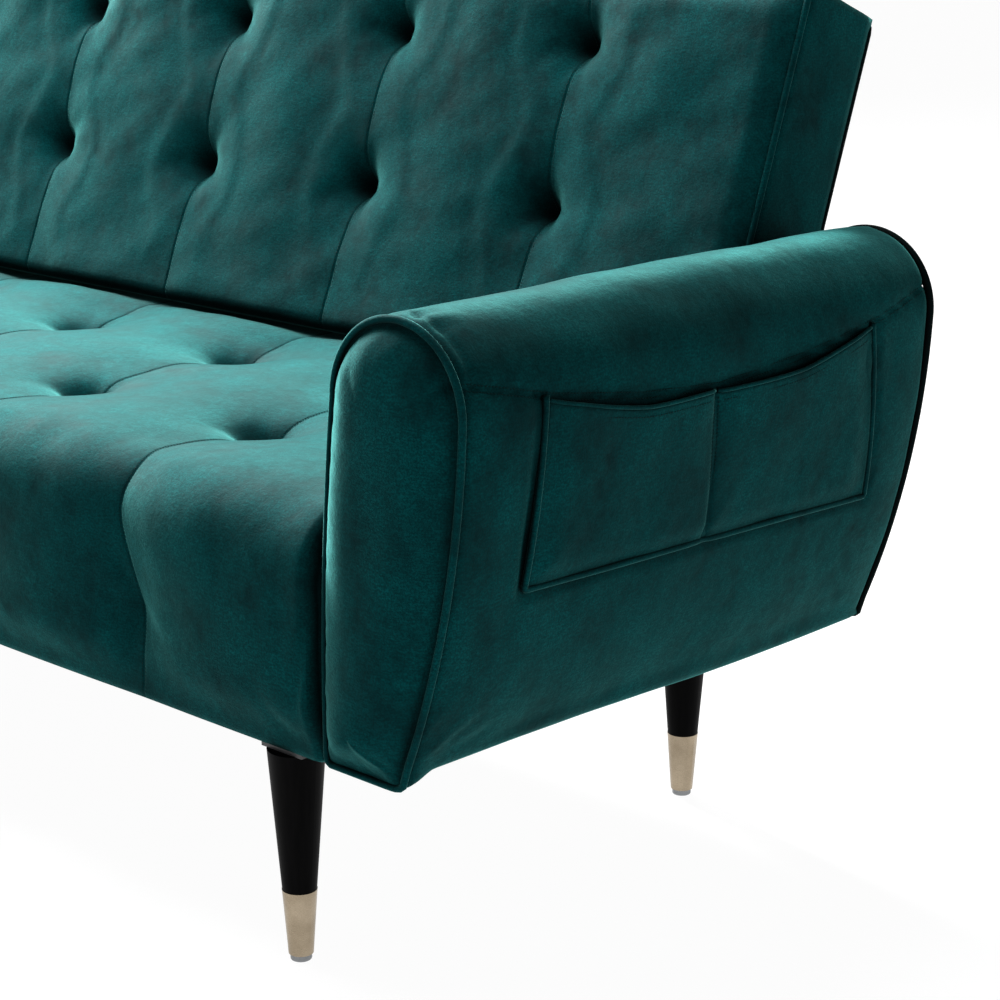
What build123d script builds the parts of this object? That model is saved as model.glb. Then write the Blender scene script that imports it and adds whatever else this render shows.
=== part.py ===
"""A three-seat velvet futon sofa bed with a click-clack backrest, padded arms and side pockets.

Millimetres, +X to the sitter's left, +Y to the back, +Z up. In names, left and right are as seen
from the front, so right is +X. The model is drawn with y = 0 on the front plane of the arms and
z = 0 on the floor. Just before export everything is moved along Y, so that the origin is under the
middle of the whole sofa.
"""

import math
import os

from build123d import *

# ---- driving dimensions ---------------------------------------------------------------------
INNER_WIDTH = 1800.0  # between the two arms
ARM_LENGTH = 596.0
ARM_BOTTOM = 192.0
ARM_TOP = 560.0
SEAT_BOTTOM = 187.0
SEAT_TOP = 394.0
SEAT_FRONT = 4.0
SEAT_REAR = 545.0
SEAT_END_GAP = 5.0  # seat cover to the arm
BACK_LENGTH = 392.0  # measured up the backrest from the seat
BACK_THICK = 100.0
BACK_LEAN = 20.0  # degrees from upright, at rest
BACK_FOOT = (484.0, 397.0)  # y, z of the backrest's front foot line
BACK_END_GAP = 4.0
BACK_BULGE = 14.0  # crown of the front pad beyond its piping
PIVOT_BELOW = 35.0  # hinge axis below the backrest's bottom end

LEG_X = 842.0
LEG_Y = (22.0, 518.0)
LEG_PLATE = (24.0, 16.0)  # half width, half depth
LEG_TOP = 186.0
LEG_R_FOOT = 10.5
LEG_R_TOP = 24.0
GLIDE_HIGH = 6.0
FERRULE_TOP = 63.0
FERRULE_WALL = 1.0

FABRIC = 2.0
RAIL_THICK = 25.0
RAIL_BOTTOM = 190.0
RAIL_TOP = 282.0
FRONT_RAIL_Y = 14.0
REAR_RAIL_Y = 505.0
END_RAIL_X = 845.0
CROSS_RAIL_X = 300.0
FOAM_BOTTOM = 290.0
NOTCH_X = 872.0  # the seat's rear corners are cut back to here for the hinges
NOTCH_Y = 430.0

WIRE_R = 1.8
SEAT_SPRINGS = 10
BACK_SPRINGS = 8

SEAT_PANELS = 7
PANEL = 256.0
TUFT_ROWS_SEAT = (179.0, 366.0)
TUFT_ROWS_BACK = (160.0, 325.0)

PLATE = 4.0  # hinge steel
PIN_R = 6.0
PAWL_PIN_R = 4.0
RUNNING_FIT = 0.05
SECTOR_R = 30.0
NOTCH_ANGLES = (0.0, 8.0, -35.0, -70.0)  # backrest positions that the ratchet holds
TIP_ANGLE = 225.0  # where the pawl meets the ratchet, about the pivot

BOLT_R = 4.0
BOLT_HEAD_R = 8.0

ARM_BOLTS = [(110.0, 236.0), (260.0, 236.0), (400.0, 236.0)]  # y, z
ARM_INNER_PLATE = (20.0, 32.0)  # the plywood side panel, from the arm's inner face
ARM_FORMERS_Y = ((20.0, 35.0), (561.0, 576.0))
POCKET_Y = (92.0, 298.0, 306.0, 520.0)  # front pocket from and to, rear pocket from and to
POCKET_Z = (344.0, 480.0)
POCKET_WALL_X = 143.0  # outer limit of the pockets' padding near their mouths, from the inner face
POCKET_DEEP = 8.0

HALF = INNER_WIDTH / 2

BACK_FRAME_W = (38.0, 83.0)  # front and rear of the timber, from the backrest's front plane
BACK_BOTTOM = 6.0
BACK_REACH = HALF - BACK_END_GAP
BACK_RAIL_X = 884.0  # outer face of the backrest's side rails

HINGE_BOLTS = [(462.0, 234.0), (490.0, 234.0), (476.0, 264.0)]  # y, z
STRAP_BOLTS = [(50.0, 50.0), (50.0, 110.0)]  # w, u on the backrest
SEAT_PLATE_X = 873.0  # inner faces of the hinge's layers
SECTOR_X = (879.0, 884.0)
PAWL_X = (879.4, 883.6)

SIDES = {"left": -1, "right": 1}
parts = {}


# ---- small helpers --------------------------------------------------------------------------
def block(x0, x1, y0, y1, z0, z1):
    """A box given by its lowest and highest corners."""
    centre = ((x0 + x1) / 2, (y0 + y1) / 2, (z0 + z1) / 2)
    return Pos(*centre) * Box(x1 - x0, y1 - y0, z1 - z0)


def rod(radius, length, start, direction):
    """A cylinder from start along direction, which is one of "x", "y" or "z"."""
    turn = {"x": Rot(0, 90, 0), "y": Rot(-90, 0, 0), "z": Rot(0, 0, 0)}[direction]
    return Pos(*start) * turn * Cylinder(radius, length, align=(Align.CENTER, Align.CENTER, Align.MIN))


def cone(r_low, r_high, z_low, z_high):
    """An upright cone frustum on the Z axis."""
    shape = Cone(r_low, r_high, z_high - z_low, align=(Align.CENTER, Align.CENTER, Align.MIN))
    return Pos(0, 0, z_low) * shape


def along_x(face, x0, x1):
    """Extrudes a sketch, drawn with its own x as Y and its own y as Z, from x0 to x1."""
    return extrude(Plane.YZ.offset(x0) * face, amount=x1 - x0)


def along_y(face, y0, y1):
    """Extrudes a sketch, drawn with its own x as X and its own y as Z, from y0 to y1."""
    return extrude(Plane.XZ.offset(-y0) * face, amount=-(y1 - y0))


def mirrored(shape, side):
    """The shape as drawn for the right-hand side (+X), or its mirror image for the left."""
    return shape if side > 0 else mirror(shape, about=Plane.YZ)


def add(name, shape):
    """Keeps one node. A list of shapes becomes one group node of separate solids."""
    if isinstance(shape, list):
        shape = Compound([solid for piece in shape for solid in piece.solids()])
    parts[name] = shape


def rounded(corners, radii):
    """A closed polygon whose corners are rounded by the radii given for them (0 leaves one sharp)."""
    face = make_face(Polyline(*corners, close=True))
    for corner, radius in zip(corners, radii):
        if radius > 0:
            nearest = face.vertices().sort_by_distance((corner[0], corner[1], 0))[0]
            face = fillet(nearest, radius)
    return face


# ---- legs -----------------------------------------------------------------------------------
def leg_radius(z):
    """The leg's outer radius at a height: one straight taper from glide to top."""
    share = (z - GLIDE_HIGH) / (LEG_TOP - GLIDE_HIGH)
    return LEG_R_FOOT + share * (LEG_R_TOP - LEG_R_FOOT)


def leg_places():
    """Name and position of every leg."""
    across = {"left": -LEG_X, "centre": 0.0, "right": LEG_X}
    deep = {"front": LEG_Y[0], "rear": LEG_Y[1]}
    return {f"leg_{d}_{a}": (across[a], deep[d]) for d in deep for a in across}


def make_legs():
    """Tapered legs, brass cups on their ends, plastic glides, fixing plates and hanger bolts."""
    skin = FERRULE_WALL + 0.05
    cup_floor = GLIDE_HIGH + 1.5
    tip = cone(leg_radius(cup_floor) - skin, leg_radius(FERRULE_TOP) - skin, cup_floor, FERRULE_TOP)
    shaft = cone(leg_radius(FERRULE_TOP) - 0.4, LEG_R_TOP, FERRULE_TOP, LEG_TOP)
    bolt_hole = rod(BOLT_R, 50, (0, 0, LEG_TOP - 45), "z")
    leg = tip + shaft - bolt_hole

    cup = cone(LEG_R_FOOT, leg_radius(FERRULE_TOP), GLIDE_HIGH, FERRULE_TOP)
    bore_low = leg_radius(cup_floor) - FERRULE_WALL
    bore_high = leg_radius(FERRULE_TOP) - FERRULE_WALL
    ferrule = cup - cone(bore_low, bore_high, cup_floor, FERRULE_TOP)

    glide = Cylinder(LEG_R_FOOT - 1.5, GLIDE_HIGH, align=(Align.CENTER, Align.CENTER, Align.MIN))
    glide = fillet(glide.edges().sort_by(Axis.Z)[0], 1.5)

    half_x, half_y = LEG_PLATE
    plate = block(-half_x, half_x, -half_y, half_y, LEG_TOP, RAIL_BOTTOM)
    plate = plate - rod(BOLT_R, 10, (0, 0, LEG_TOP - 2), "z")
    bolt = rod(BOLT_R, 85, (0, 0, LEG_TOP - 45), "z")

    ferrules, glides, plates, bolts = [], [], [], []
    for name, (x, y) in leg_places().items():
        place = Pos(x, y, 0)
        add(name, place * leg)
        ferrules.append(place * ferrule)
        glides.append(place * glide)
        plates.append(place * plate)
        bolts.append(place * bolt)
    add("leg_ferrules", ferrules)
    add("leg_glides", glides)
    add("leg_plates", plates)
    add("leg_bolts", bolts)


# ---- sinuous springs ------------------------------------------------------------------------
def sinuous(length, bars):
    """A zig-zag wire lying in XY, from y = 0 to y = length, with its bars across X."""
    half_bar = 22.0
    pitch = length / (bars - 1)
    points = []
    for i in range(bars):
        ends = (-half_bar, half_bar) if i % 2 == 0 else (half_bar, -half_bar)
        points += [(ends[0], i * pitch), (ends[1], i * pitch)]
    path = FilletPolyline(*points, radius=0.4 * pitch)
    section = Plane(origin=path @ 0, z_dir=path % 0) * Circle(WIRE_R)
    return sweep(section, path=path)


def spring_clip():
    """A clip that holds a spring's end bar, 3 mm above the rail at z = 0."""
    body = block(-9, 9, -5, 5, 0, 6)
    return body - rod(WIRE_R + RUNNING_FIT, 30, (-15, 0, 3), "x")


def spread(count, reach):
    """Evenly spaced positions from -reach to reach."""
    return [-reach + 2 * reach * i / (count - 1) for i in range(count)]


# ---- seat -----------------------------------------------------------------------------------
def seat_profile(inset):
    """The seat's outline seen from its end, moved in by inset."""
    low = SEAT_BOTTOM if inset == 0 else SEAT_BOTTOM - 10
    front, rear, top = SEAT_FRONT + inset, SEAT_REAR - inset, SEAT_TOP - inset
    corners = [(front, low), (rear, low), (rear, top), (front, top)]
    return rounded(corners, [0, 0, 58 - inset, 36 - inset])


def seat_block(inset):
    """The seat's solid shape with its two hinge notches, moved in by inset."""
    reach = HALF - SEAT_END_GAP - inset
    shape = along_x(seat_profile(inset), -reach, reach)
    for side in SIDES.values():
        behind = NOTCH_Y - inset, SEAT_REAR + 10
        notch = block(NOTCH_X - inset, HALF, *behind, SEAT_BOTTOM - 20, SEAT_TOP + 10)
        shape -= mirrored(notch, side)
    return shape


def tuft_places(rows):
    """Across and along positions of every tuft."""
    columns = [PANEL * (i - (SEAT_PANELS - 2) / 2) for i in range(SEAT_PANELS - 1)]
    return [(x, r) for x in columns for r in rows]


def fabric_holes():
    """Everything that passes through the seat's end padding and cover: the bolts to arms and hinges."""
    holes = []
    for y, z in ARM_BOLTS:
        holes.append(rod(BOLT_R + 1, 60, (END_RAIL_X + RAIL_THICK, y, z), "x"))
    for y, z in HINGE_BOLTS:
        holes.append(rod(BOLT_R + 1, 10, (END_RAIL_X + RAIL_THICK, y, z), "x"))
    return [mirrored(h, side) for h in holes for side in SIDES.values()]


def make_seat_frame():
    """Timber box frame with corner blocks under the seat."""
    outer = END_RAIL_X + RAIL_THICK
    rear_face = REAR_RAIL_Y + RAIL_THICK
    front_inner = FRONT_RAIL_Y + RAIL_THICK
    holes = [rod(BOLT_R, 60, (x, y, RAIL_BOTTOM - 5), "z") for x, y in leg_places().values()]
    front = block(-outer, outer, FRONT_RAIL_Y, front_inner, RAIL_BOTTOM, RAIL_TOP)
    rear = block(-outer, outer, REAR_RAIL_Y, rear_face, RAIL_BOTTOM, RAIL_TOP)
    add("front_rail", front - holes)
    add("rear_rail", rear - holes)
    for name, side in SIDES.items():
        rail = block(END_RAIL_X, outer, front_inner, REAR_RAIL_Y, RAIL_BOTTOM, RAIL_TOP)
        for y, z in ARM_BOLTS + HINGE_BOLTS:
            rail -= rod(BOLT_R, 40, (END_RAIL_X - 5, y, z), "x")
        add(f"end_rail_{name}", mirrored(rail, side))
    crosses, blocks = [], []
    for x in (-CROSS_RAIL_X, CROSS_RAIL_X):
        x0 = x - RAIL_THICK / 2
        crosses.append(block(x0, x0 + RAIL_THICK, front_inner, REAR_RAIL_Y, RAIL_BOTTOM, RAIL_TOP))
    for side in SIDES.values():
        for y0, y1 in ((front_inner, front_inner + 45), (REAR_RAIL_Y - 45, REAR_RAIL_Y)):
            corner = block(END_RAIL_X - 45, END_RAIL_X, y0, y1, RAIL_BOTTOM, RAIL_BOTTOM + 30)
            blocks.append(mirrored(corner, side))
    add("cross_rails", crosses)
    add("corner_blocks", blocks)


def make_seat_springs():
    """Sinuous springs from the front rail to the rear rail, clipped at both ends."""
    y0 = FRONT_RAIL_Y + RAIL_THICK / 2
    y1 = REAR_RAIL_Y + RAIL_THICK / 2
    wire = sinuous(y1 - y0, 19)
    springs, clips = [], []
    for x in spread(SEAT_SPRINGS, 780):
        springs.append(Pos(x, y0, RAIL_TOP + 3) * wire)
        clips += [Pos(x, y, RAIL_TOP) * spring_clip() for y in (y0, y1)]
    add("seat_springs", springs)
    add("seat_spring_clips", clips)


def make_seat_soft_parts():
    """Foam, tufting ties, fabric cover and dust cover."""
    outer = END_RAIL_X + RAIL_THICK + 0.5
    rear_face = REAR_RAIL_Y + RAIL_THICK + 0.5
    holes = fabric_holes()
    foam = seat_block(FABRIC) - block(-HALF, HALF, 0, SEAT_REAR, 0, RAIL_BOTTOM)
    foam -= block(-outer, outer, FRONT_RAIL_Y - 0.5, rear_face, RAIL_BOTTOM - 5, FOAM_BOTTOM)
    ties = []
    for x, y in tuft_places(TUFT_ROWS_SEAT):
        foam -= rod(3, 200, (x, y, FOAM_BOTTOM - 5), "z")
        tie = rod(1.2, SEAT_TOP - FOAM_BOTTOM - 4, (x, y, FOAM_BOTTOM + 2), "z")
        ties.append(tie + block(x - 2.4, x + 2.4, y - 1, y + 1, FOAM_BOTTOM + 1, FOAM_BOTTOM + 3))
    add("seat_foam", foam - holes)
    add("seat_tuft_ties", ties)
    add("seat_cover", seat_block(0) - seat_block(FABRIC) - holes)
    reach = END_RAIL_X + RAIL_THICK
    sheet = block(-reach, reach, FRONT_RAIL_Y, REAR_RAIL_Y + RAIL_THICK, RAIL_BOTTOM - 1, RAIL_BOTTOM)
    half_x, half_y = (half + 0.5 for half in LEG_PLATE)
    for x, y in leg_places().values():
        sheet -= block(x - half_x, x + half_x, y - half_y, y + half_y, RAIL_BOTTOM - 3, RAIL_BOTTOM + 3)
    add("seat_dust_cover", sheet)


# ---- arms -----------------------------------------------------------------------------------
def arm_profile(inset):
    """The arm's outline seen from the front, from its inner face at x = 0, moved in by inset."""
    inner = ThreePointArc((0, 245), (4.5, 375), (15, 491))
    head = ThreePointArc((15, 491), (84, ARM_TOP), (153, 491))
    outer = ThreePointArc((153, 491), (135, 348), (84, ARM_BOTTOM))
    base = Polyline((84, ARM_BOTTOM), (0, ARM_BOTTOM), (0, 245))
    face = make_face(Wire([*inner.edges(), *head.edges(), *outer.edges(), *base.edges()]))
    return offset(face, amount=-inset) if inset else face


def arm_bar(inset, y0, y1):
    """A length of the arm's profile on the right-hand side."""
    return Pos(HALF, 0, 0) * along_y(arm_profile(inset), y0, y1)


def pocket_space(depth_in, y0, y1):
    """The slot behind one pocket panel, open at its top."""
    z0, z1 = POCKET_Z
    slot = arm_bar(0, y0, y1) - arm_bar(depth_in, y0 - 1, y1 + 1)
    slot &= block(HALF + 90, HALF + 200, y0, y1, z0, z1)
    way_out = block(HALF + POCKET_WALL_X, HALF + 200, y0, y1, z1 - 70, ARM_TOP)
    return slot + (way_out & arm_bar(0, y0, y1))


def make_arm(name, side):
    """One padded arm: plywood and timber inside, foam, cover, pockets and piping outside."""
    inner0, inner1 = HALF + ARM_INNER_PLATE[0], HALF + ARM_INNER_PLATE[1]
    y0, y1 = ARM_FORMERS_Y[0][1], ARM_FORMERS_Y[1][0]
    bolt_holes = [rod(BOLT_R, 20, (inner0 - 5, y, z), "x") for y, z in ARM_BOLTS]
    panel = block(inner0, inner1, y0, y1, 206, 400) - bolt_holes
    formers = [arm_bar(13, a, b) for a, b in ARM_FORMERS_Y]
    top_board = block(HALF + 50, HALF + 118, y0, y1, 520, 532)
    bottom_rail = block(HALF + 33, HALF + 73, y0, y1, 206, 231)
    add(f"arm_side_panel_{name}", mirrored(panel, side))
    add(f"arm_formers_{name}", [mirrored(f, side) for f in formers])
    add(f"arm_rails_{name}", [mirrored(r, side) for r in (top_board, bottom_rail)])

    spans = (POCKET_Y[0:2], POCKET_Y[2:4])
    spaces = [pocket_space(POCKET_DEEP, a, b) for a, b in spans]
    sunk = [pocket_space(POCKET_DEEP + FABRIC, a - FABRIC, b + FABRIC) for a, b in spans]
    through = [rod(BOLT_R + 1, 25, (HALF - 5, y, z), "x") for y, z in ARM_BOLTS]
    foam = arm_bar(FABRIC, 6, ARM_LENGTH - 6) - arm_bar(12.5, 18, ARM_LENGTH - 18)
    foam = foam - sunk - through
    cover = arm_bar(0, 4, ARM_LENGTH - 4) - arm_bar(FABRIC, 6, ARM_LENGTH - 6)
    liner = (sunk[0] + sunk[1]) - spaces
    cover = (cover - sunk + (liner & arm_bar(0, 4, ARM_LENGTH - 4))) - through
    add(f"arm_foam_{name}", mirrored(foam, side))
    add(f"arm_cover_{name}", mirrored(cover, side))

    reach = POCKET_Y[0] - 6, POCKET_Y[3] + 6
    skin = along_y(offset(arm_profile(0), amount=FABRIC), *reach)
    flap = Pos(HALF, 0, 0) * skin - arm_bar(0, 0, ARM_LENGTH)
    flap &= block(HALF + 90, HALF + 200, reach[0], reach[1], POCKET_Z[0] - 6, POCKET_Z[1])
    add(f"arm_pocket_{name}", mirrored(flap, side))

    rings = []
    for a, b in ((-3, 4), (ARM_LENGTH - 4, ARM_LENGTH + 3)):
        ring = arm_bar(0, a, b) - arm_bar(8, a - 1, b + 1)
        rings.append(mirrored(ring, side))
    add(f"arm_piping_{name}", rings)

    bolts = []
    for y, z in ARM_BOLTS:
        bolt = rod(BOLT_R, HALF + ARM_INNER_PLATE[1] - END_RAIL_X, (END_RAIL_X, y, z), "x")
        bolt += rod(BOLT_HEAD_R, 5, (END_RAIL_X - 5, y, z), "x")
        bolts.append(mirrored(bolt, side))
    add(f"arm_bolts_{name}", bolts)


# ---- backrest, drawn standing: w is y from its front plane, u is z up from its bottom end --------
def back_place():
    """Leans the backrest and sets it on its foot line."""
    return Pos(0, *BACK_FOOT) * Rot(-BACK_LEAN, 0, 0)


def pivot():
    """y and z of the hinge axis."""
    lean = math.radians(BACK_LEAN)
    w, u = BACK_THICK / 2, -PIVOT_BELOW
    y = BACK_FOOT[0] + w * math.cos(lean) + u * math.sin(lean)
    z = BACK_FOOT[1] - w * math.sin(lean) + u * math.cos(lean)
    return y, z


def back_block(inset):
    """The backrest's slab with its crowned front pad, moved in by inset."""
    reach = BACK_REACH - inset
    low, high = BACK_BOTTOM + inset, BACK_LENGTH - inset
    slab = block(-reach, reach, 4 + inset, BACK_THICK - 4 - inset, low, high)
    pad = block(-reach + 14, reach - 14, -BACK_BULGE + inset, 30, low + 14, high - 14)
    pad = fillet(pad.edges().filter_by_position(Axis.Y, -99, -BACK_BULGE + inset + 1), 10)
    return slab + pad


def make_back_frame():
    """Timber frame of the backrest."""
    w0, w1 = BACK_FRAME_W
    x0 = BACK_RAIL_X - RAIL_THICK
    low, high = BACK_BOTTOM + 10, BACK_LENGTH - 12
    sides, crosses = [], []
    for side in SIDES.values():
        rail = block(x0, BACK_RAIL_X, w0, w1, low, high)
        for w, u in STRAP_BOLTS:
            rail -= rod(BOLT_R, 40, (x0 - 5, w, u), "x")
        sides.append(mirrored(rail, side))
        x = side * CROSS_RAIL_X
        crosses.append(block(x - 12, x + 12, w0 + 8, w1, low + 25, high - 25))
    add("back_side_rails", [back_place() * s for s in sides])
    add("back_top_rail", back_place() * block(-x0, x0, w0, w1, high - 25, high))
    add("back_bottom_rail", back_place() * block(-x0, x0, w0, w1, low, low + 25))
    add("back_cross_rails", [back_place() * c for c in crosses])


def make_back_springs():
    """Sinuous springs up the front of the backrest's frame."""
    w = BACK_FRAME_W[0]
    u0 = BACK_BOTTOM + 10 + 12.5
    u1 = BACK_LENGTH - 12 - 12.5
    wire = Rot(90, 0, 0) * sinuous(u1 - u0, 13)
    clip = Rot(90, 0, 0) * spring_clip()
    springs, clips = [], []
    for x in spread(BACK_SPRINGS, 770):
        springs.append(back_place() * Pos(x, w - 3, u0) * wire)
        clips += [back_place() * Pos(x, w, u) * clip for u in (u0, u1)]
    add("back_springs", springs)
    add("back_spring_clips", clips)


def strap_slot(grow):
    """The opening in the backrest's bottom end for one hinge strap, on the right."""
    centre = BACK_THICK / 2
    x0, x1 = BACK_RAIL_X, BACK_RAIL_X + PLATE
    return block(x0, x1 + grow, centre - 20 - grow, centre + 20 + grow, -20, 138)


def make_back_soft_parts():
    """Foam, tufting ties, fabric cover and piping of the backrest."""
    w0, w1 = BACK_FRAME_W
    slots = [mirrored(strap_slot(1.0), side) for side in SIDES.values()]
    heads = [mirrored(rod(BOLT_HEAD_R + 1, 10, (BACK_RAIL_X + PLATE, w, u), "x"), side)
             for w, u in STRAP_BOLTS for side in SIDES.values()]
    room_x = BACK_RAIL_X + 0.5
    frame_room = block(-room_x, room_x, w0 - 8, w1 + 0.5, BACK_BOTTOM + 9.5, BACK_LENGTH - 11.5)
    foam = back_block(FABRIC) - frame_room - slots - heads
    ties = []
    for x, u in tuft_places(TUFT_ROWS_BACK):
        foam -= rod(3, 60, (x, -20, u), "y")
        tie = rod(1.2, 36, (x, -8, u), "y") + block(x - 2.4, x + 2.4, 26, 28, u - 1, u + 1)
        ties.append(back_place() * tie)
    add("back_foam", back_place() * foam)
    add("back_tuft_ties", ties)
    cover = back_block(0) - back_block(FABRIC)
    bottom = block(0, HALF, 0, BACK_THICK, -20, 20)
    bottom_slots = [mirrored(strap_slot(1.0) & bottom, side) for side in SIDES.values()]
    add("back_cover", back_place() * (cover - bottom_slots))
    rings = []
    for a, b in ((-3, 4), (BACK_THICK - 4, BACK_THICK + 1)):
        ring = block(-BACK_REACH, BACK_REACH, a, b, BACK_BOTTOM, BACK_LENGTH)
        inner = BACK_REACH - 8
        ring -= block(-inner, inner, a - 1, b + 1, BACK_BOTTOM + 8, BACK_LENGTH - 8)
        if a < 0:
            ring -= back_block(0)
        rings.append(back_place() * ring)
    add("back_piping", rings)


# ---- click-clack hinges ---------------------------------------------------------------------
def about_pivot(angle, radius):
    """The y and z of a point at an angle and radius about the hinge axis."""
    y, z = pivot()
    a = math.radians(angle)
    return y + radius * math.cos(a), z + radius * math.sin(a)


def pawl_pin_place():
    """y and z of the pawl's pin: 38 mm from the pawl's tip, along the ratchet's tangent."""
    y, z = about_pivot(TIP_ANGLE, SECTOR_R)
    a = math.radians(TIP_ANGLE + 90)
    return y + 38 * math.cos(a), z + 38 * math.sin(a)


def notch_cutters(width, deep):
    """The gaps between the ratchet's teeth."""
    y, z = pivot()
    cutters = []
    for held in NOTCH_ANGLES:
        angle = TIP_ANGLE - held
        across = SECTOR_X[0] - 1, SECTOR_X[1] + 1
        notch = block(*across, SECTOR_R - deep, SECTOR_R + 5, -width / 2, width / 2)
        cutters.append(Pos(0, y, z) * Rot(angle, 0, 0) * notch)
    return cutters


def make_hinge(name, side):
    """One click-clack hinge: seat plate, backrest strap with ratchet, and pawl."""
    add(f"hinge_seat_plate_{name}", mirrored(seat_plate(), side))
    add(f"hinge_back_strap_{name}", mirrored(back_strap(), side))
    pawl_body(name, side)


def seat_plate():
    """The fixed plate, with its bolt foot and the eyes for both pins."""
    py, pz = pivot()
    qy, qz = pawl_pin_place()
    x0, x1 = SEAT_PLATE_X, SEAT_PLATE_X + PLATE
    foot = block(x0, x1, 446, 506, 200, 276)
    outline = Polyline((452, 270), (506, 270), (py + 24, pz), (py - 24, pz), close=True)
    neck = along_x(make_face(outline), x0, x1)
    eye = rod(24, PLATE, (x0, py, pz), "x")
    plate = foot + neck + eye + rod(14, PLATE, (x0, qy, qz), "x")
    plate -= rod(PIN_R, 20, (x0 - 5, py, pz), "x")
    plate -= rod(PAWL_PIN_R, 20, (x0 - 5, qy, qz), "x")
    for y, z in HINGE_BOLTS:
        plate -= rod(BOLT_R, 20, (x0 - 5, y, z), "x")
    return plate


def back_strap():
    """The strap on the backrest, welded to its ratchet."""
    py, pz = pivot()
    a0, a1 = BACK_RAIL_X, BACK_RAIL_X + PLATE
    centre = BACK_THICK / 2
    strap = block(a0, a1, centre - 20, centre + 20, -PIVOT_BELOW, 130)
    strap += rod(20, PLATE, (a0, centre, -PIVOT_BELOW), "x")
    for w, u in STRAP_BOLTS:
        strap -= rod(BOLT_R, 20, (a0 - 5, w, u), "x")
    strap = back_place() * strap
    ratchet = rod(SECTOR_R, SECTOR_X[1] - SECTOR_X[0], (SECTOR_X[0], py, pz), "x")
    for cutter in notch_cutters(8.0, 5.5):
        ratchet -= cutter
    return strap + ratchet - rod(PIN_R + RUNNING_FIT, 30, (SECTOR_X[0] - 5, py, pz), "x")


def pawl_body(name, side):
    """The sprung pawl, drawn clear of the ratchet by a small gap."""
    qy, qz = pawl_pin_place()
    x0, x1 = PAWL_X
    tip_y, tip_z = about_pivot(TIP_ANGLE, SECTOR_R + 0.4)
    reach = math.dist((tip_y, tip_z), (qy, qz))
    lever = block(x0, x1, 0, reach + 2.5, 3, 10)
    nose = block(x0, x1, reach - 2.5, reach + 2.5, 0, 6)
    pawl = lever + nose + rod(10, x1 - x0, (x0, 0, 0), "x")
    angle = math.degrees(math.atan2(tip_z - qz, tip_y - qy))
    pawl = Pos(0, qy, qz) * Rot(angle, 0, 0) * pawl
    pawl -= rod(PAWL_PIN_R + RUNNING_FIT, 20, (x0 - 5, qy, qz), "x")
    add(f"pawl_{name}", mirrored(pawl, side))


def make_hinge_hardware():
    """Pins, springs and bolts of both hinges."""
    py, pz = pivot()
    qy, qz = pawl_pin_place()
    pins, springs, seat_bolts, strap_bolts = [], [], [], []
    for side in SIDES.values():
        pin = rod(PIN_R, 18.5, (SEAT_PLATE_X, py, pz), "x")
        pin += rod(10, 2.5, (BACK_RAIL_X + PLATE + 0.5, py, pz), "x")
        small = rod(PAWL_PIN_R, 12, (SEAT_PLATE_X, qy, qz), "x")
        small += rod(6.5, 1.5, (PAWL_X[1] + 0.2, qy, qz), "x")
        pins += [mirrored(pin, side), mirrored(small, side)]
        for y, z in HINGE_BOLTS:
            bolt = rod(BOLT_R, 45, (END_RAIL_X - 10, y, z), "x")
            bolt = bolt & block(0, SEAT_PLATE_X + PLATE, 0, 999, 0, 999)
            bolt += rod(BOLT_HEAD_R, 5, (END_RAIL_X - 5, y, z), "x")
            seat_bolts.append(mirrored(bolt, side))
        for w, u in STRAP_BOLTS:
            bolt = rod(BOLT_R, RAIL_THICK + PLATE, (BACK_RAIL_X - RAIL_THICK, w, u), "x")
            bolt += rod(BOLT_HEAD_R - 1, 3, (BACK_RAIL_X + PLATE, w, u), "x")
            strap_bolts.append(back_place() * mirrored(bolt, side))
        ring = Rot(0, 90, 0) * Torus(6.5, 0.8)
        leg = rod(0.6, 22, (0, 6.5, -22), "z")
        spring = Pos(SEAT_PLATE_X + PLATE + 1.0, qy, qz) * (ring + leg)
        springs.append(mirrored(spring, side))
    add("hinge_pins", pins)
    add("pawl_springs", springs)
    add("hinge_seat_bolts", seat_bolts)
    add("hinge_strap_bolts", strap_bolts)


# ---- everything together --------------------------------------------------------------------
def export_all():
    """Centres the sofa over the origin, writes one file per node, and says where the axes are."""
    boxes = [p.bounding_box() for p in parts.values()]
    front = min(b.min.Y for b in boxes)
    rear = max(b.max.Y for b in boxes)
    shift = -(front + rear) / 2
    os.makedirs("parts", exist_ok=True)
    for name, shape in parts.items():
        export_step(Pos(0, shift, 0) * shape, f"parts/{name}.step")
    top = max(b.max.Z for b in boxes)
    wide = max(b.max.X for b in boxes) - min(b.min.X for b in boxes)
    size = f"{wide:.1f} wide, {rear - front:.1f} deep, {top:.1f} high"
    print(f"{len(parts)} nodes; {size}; y shift {shift:.3f}")
    print("hinge axis y, z:", [round(v, 3) for v in (pivot()[0] + shift, pivot()[1])])
    place = pawl_pin_place()
    print("pawl axis y, z:", [round(v, 3) for v in (place[0] + shift, place[1])])


def main():
    """Makes every node."""
    make_legs()
    make_seat_frame()
    make_seat_springs()
    make_seat_soft_parts()
    for name, side in SIDES.items():
        make_arm(name, side)
        make_hinge(name, side)
    make_hinge_hardware()
    make_back_frame()
    make_back_springs()
    make_back_soft_parts()
    export_all()


main()
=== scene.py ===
"""Looks of the green velvet futon sofa bed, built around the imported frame.

Shapes are drawn in millimetres with y = 0 on the front plane of the arms and z = 0 on the floor, as
in the part's source, and moved into the row frame by to_row().
"""

import math

import bmesh
import bpy
import numpy as np
from mathutils import Matrix, Vector


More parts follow.
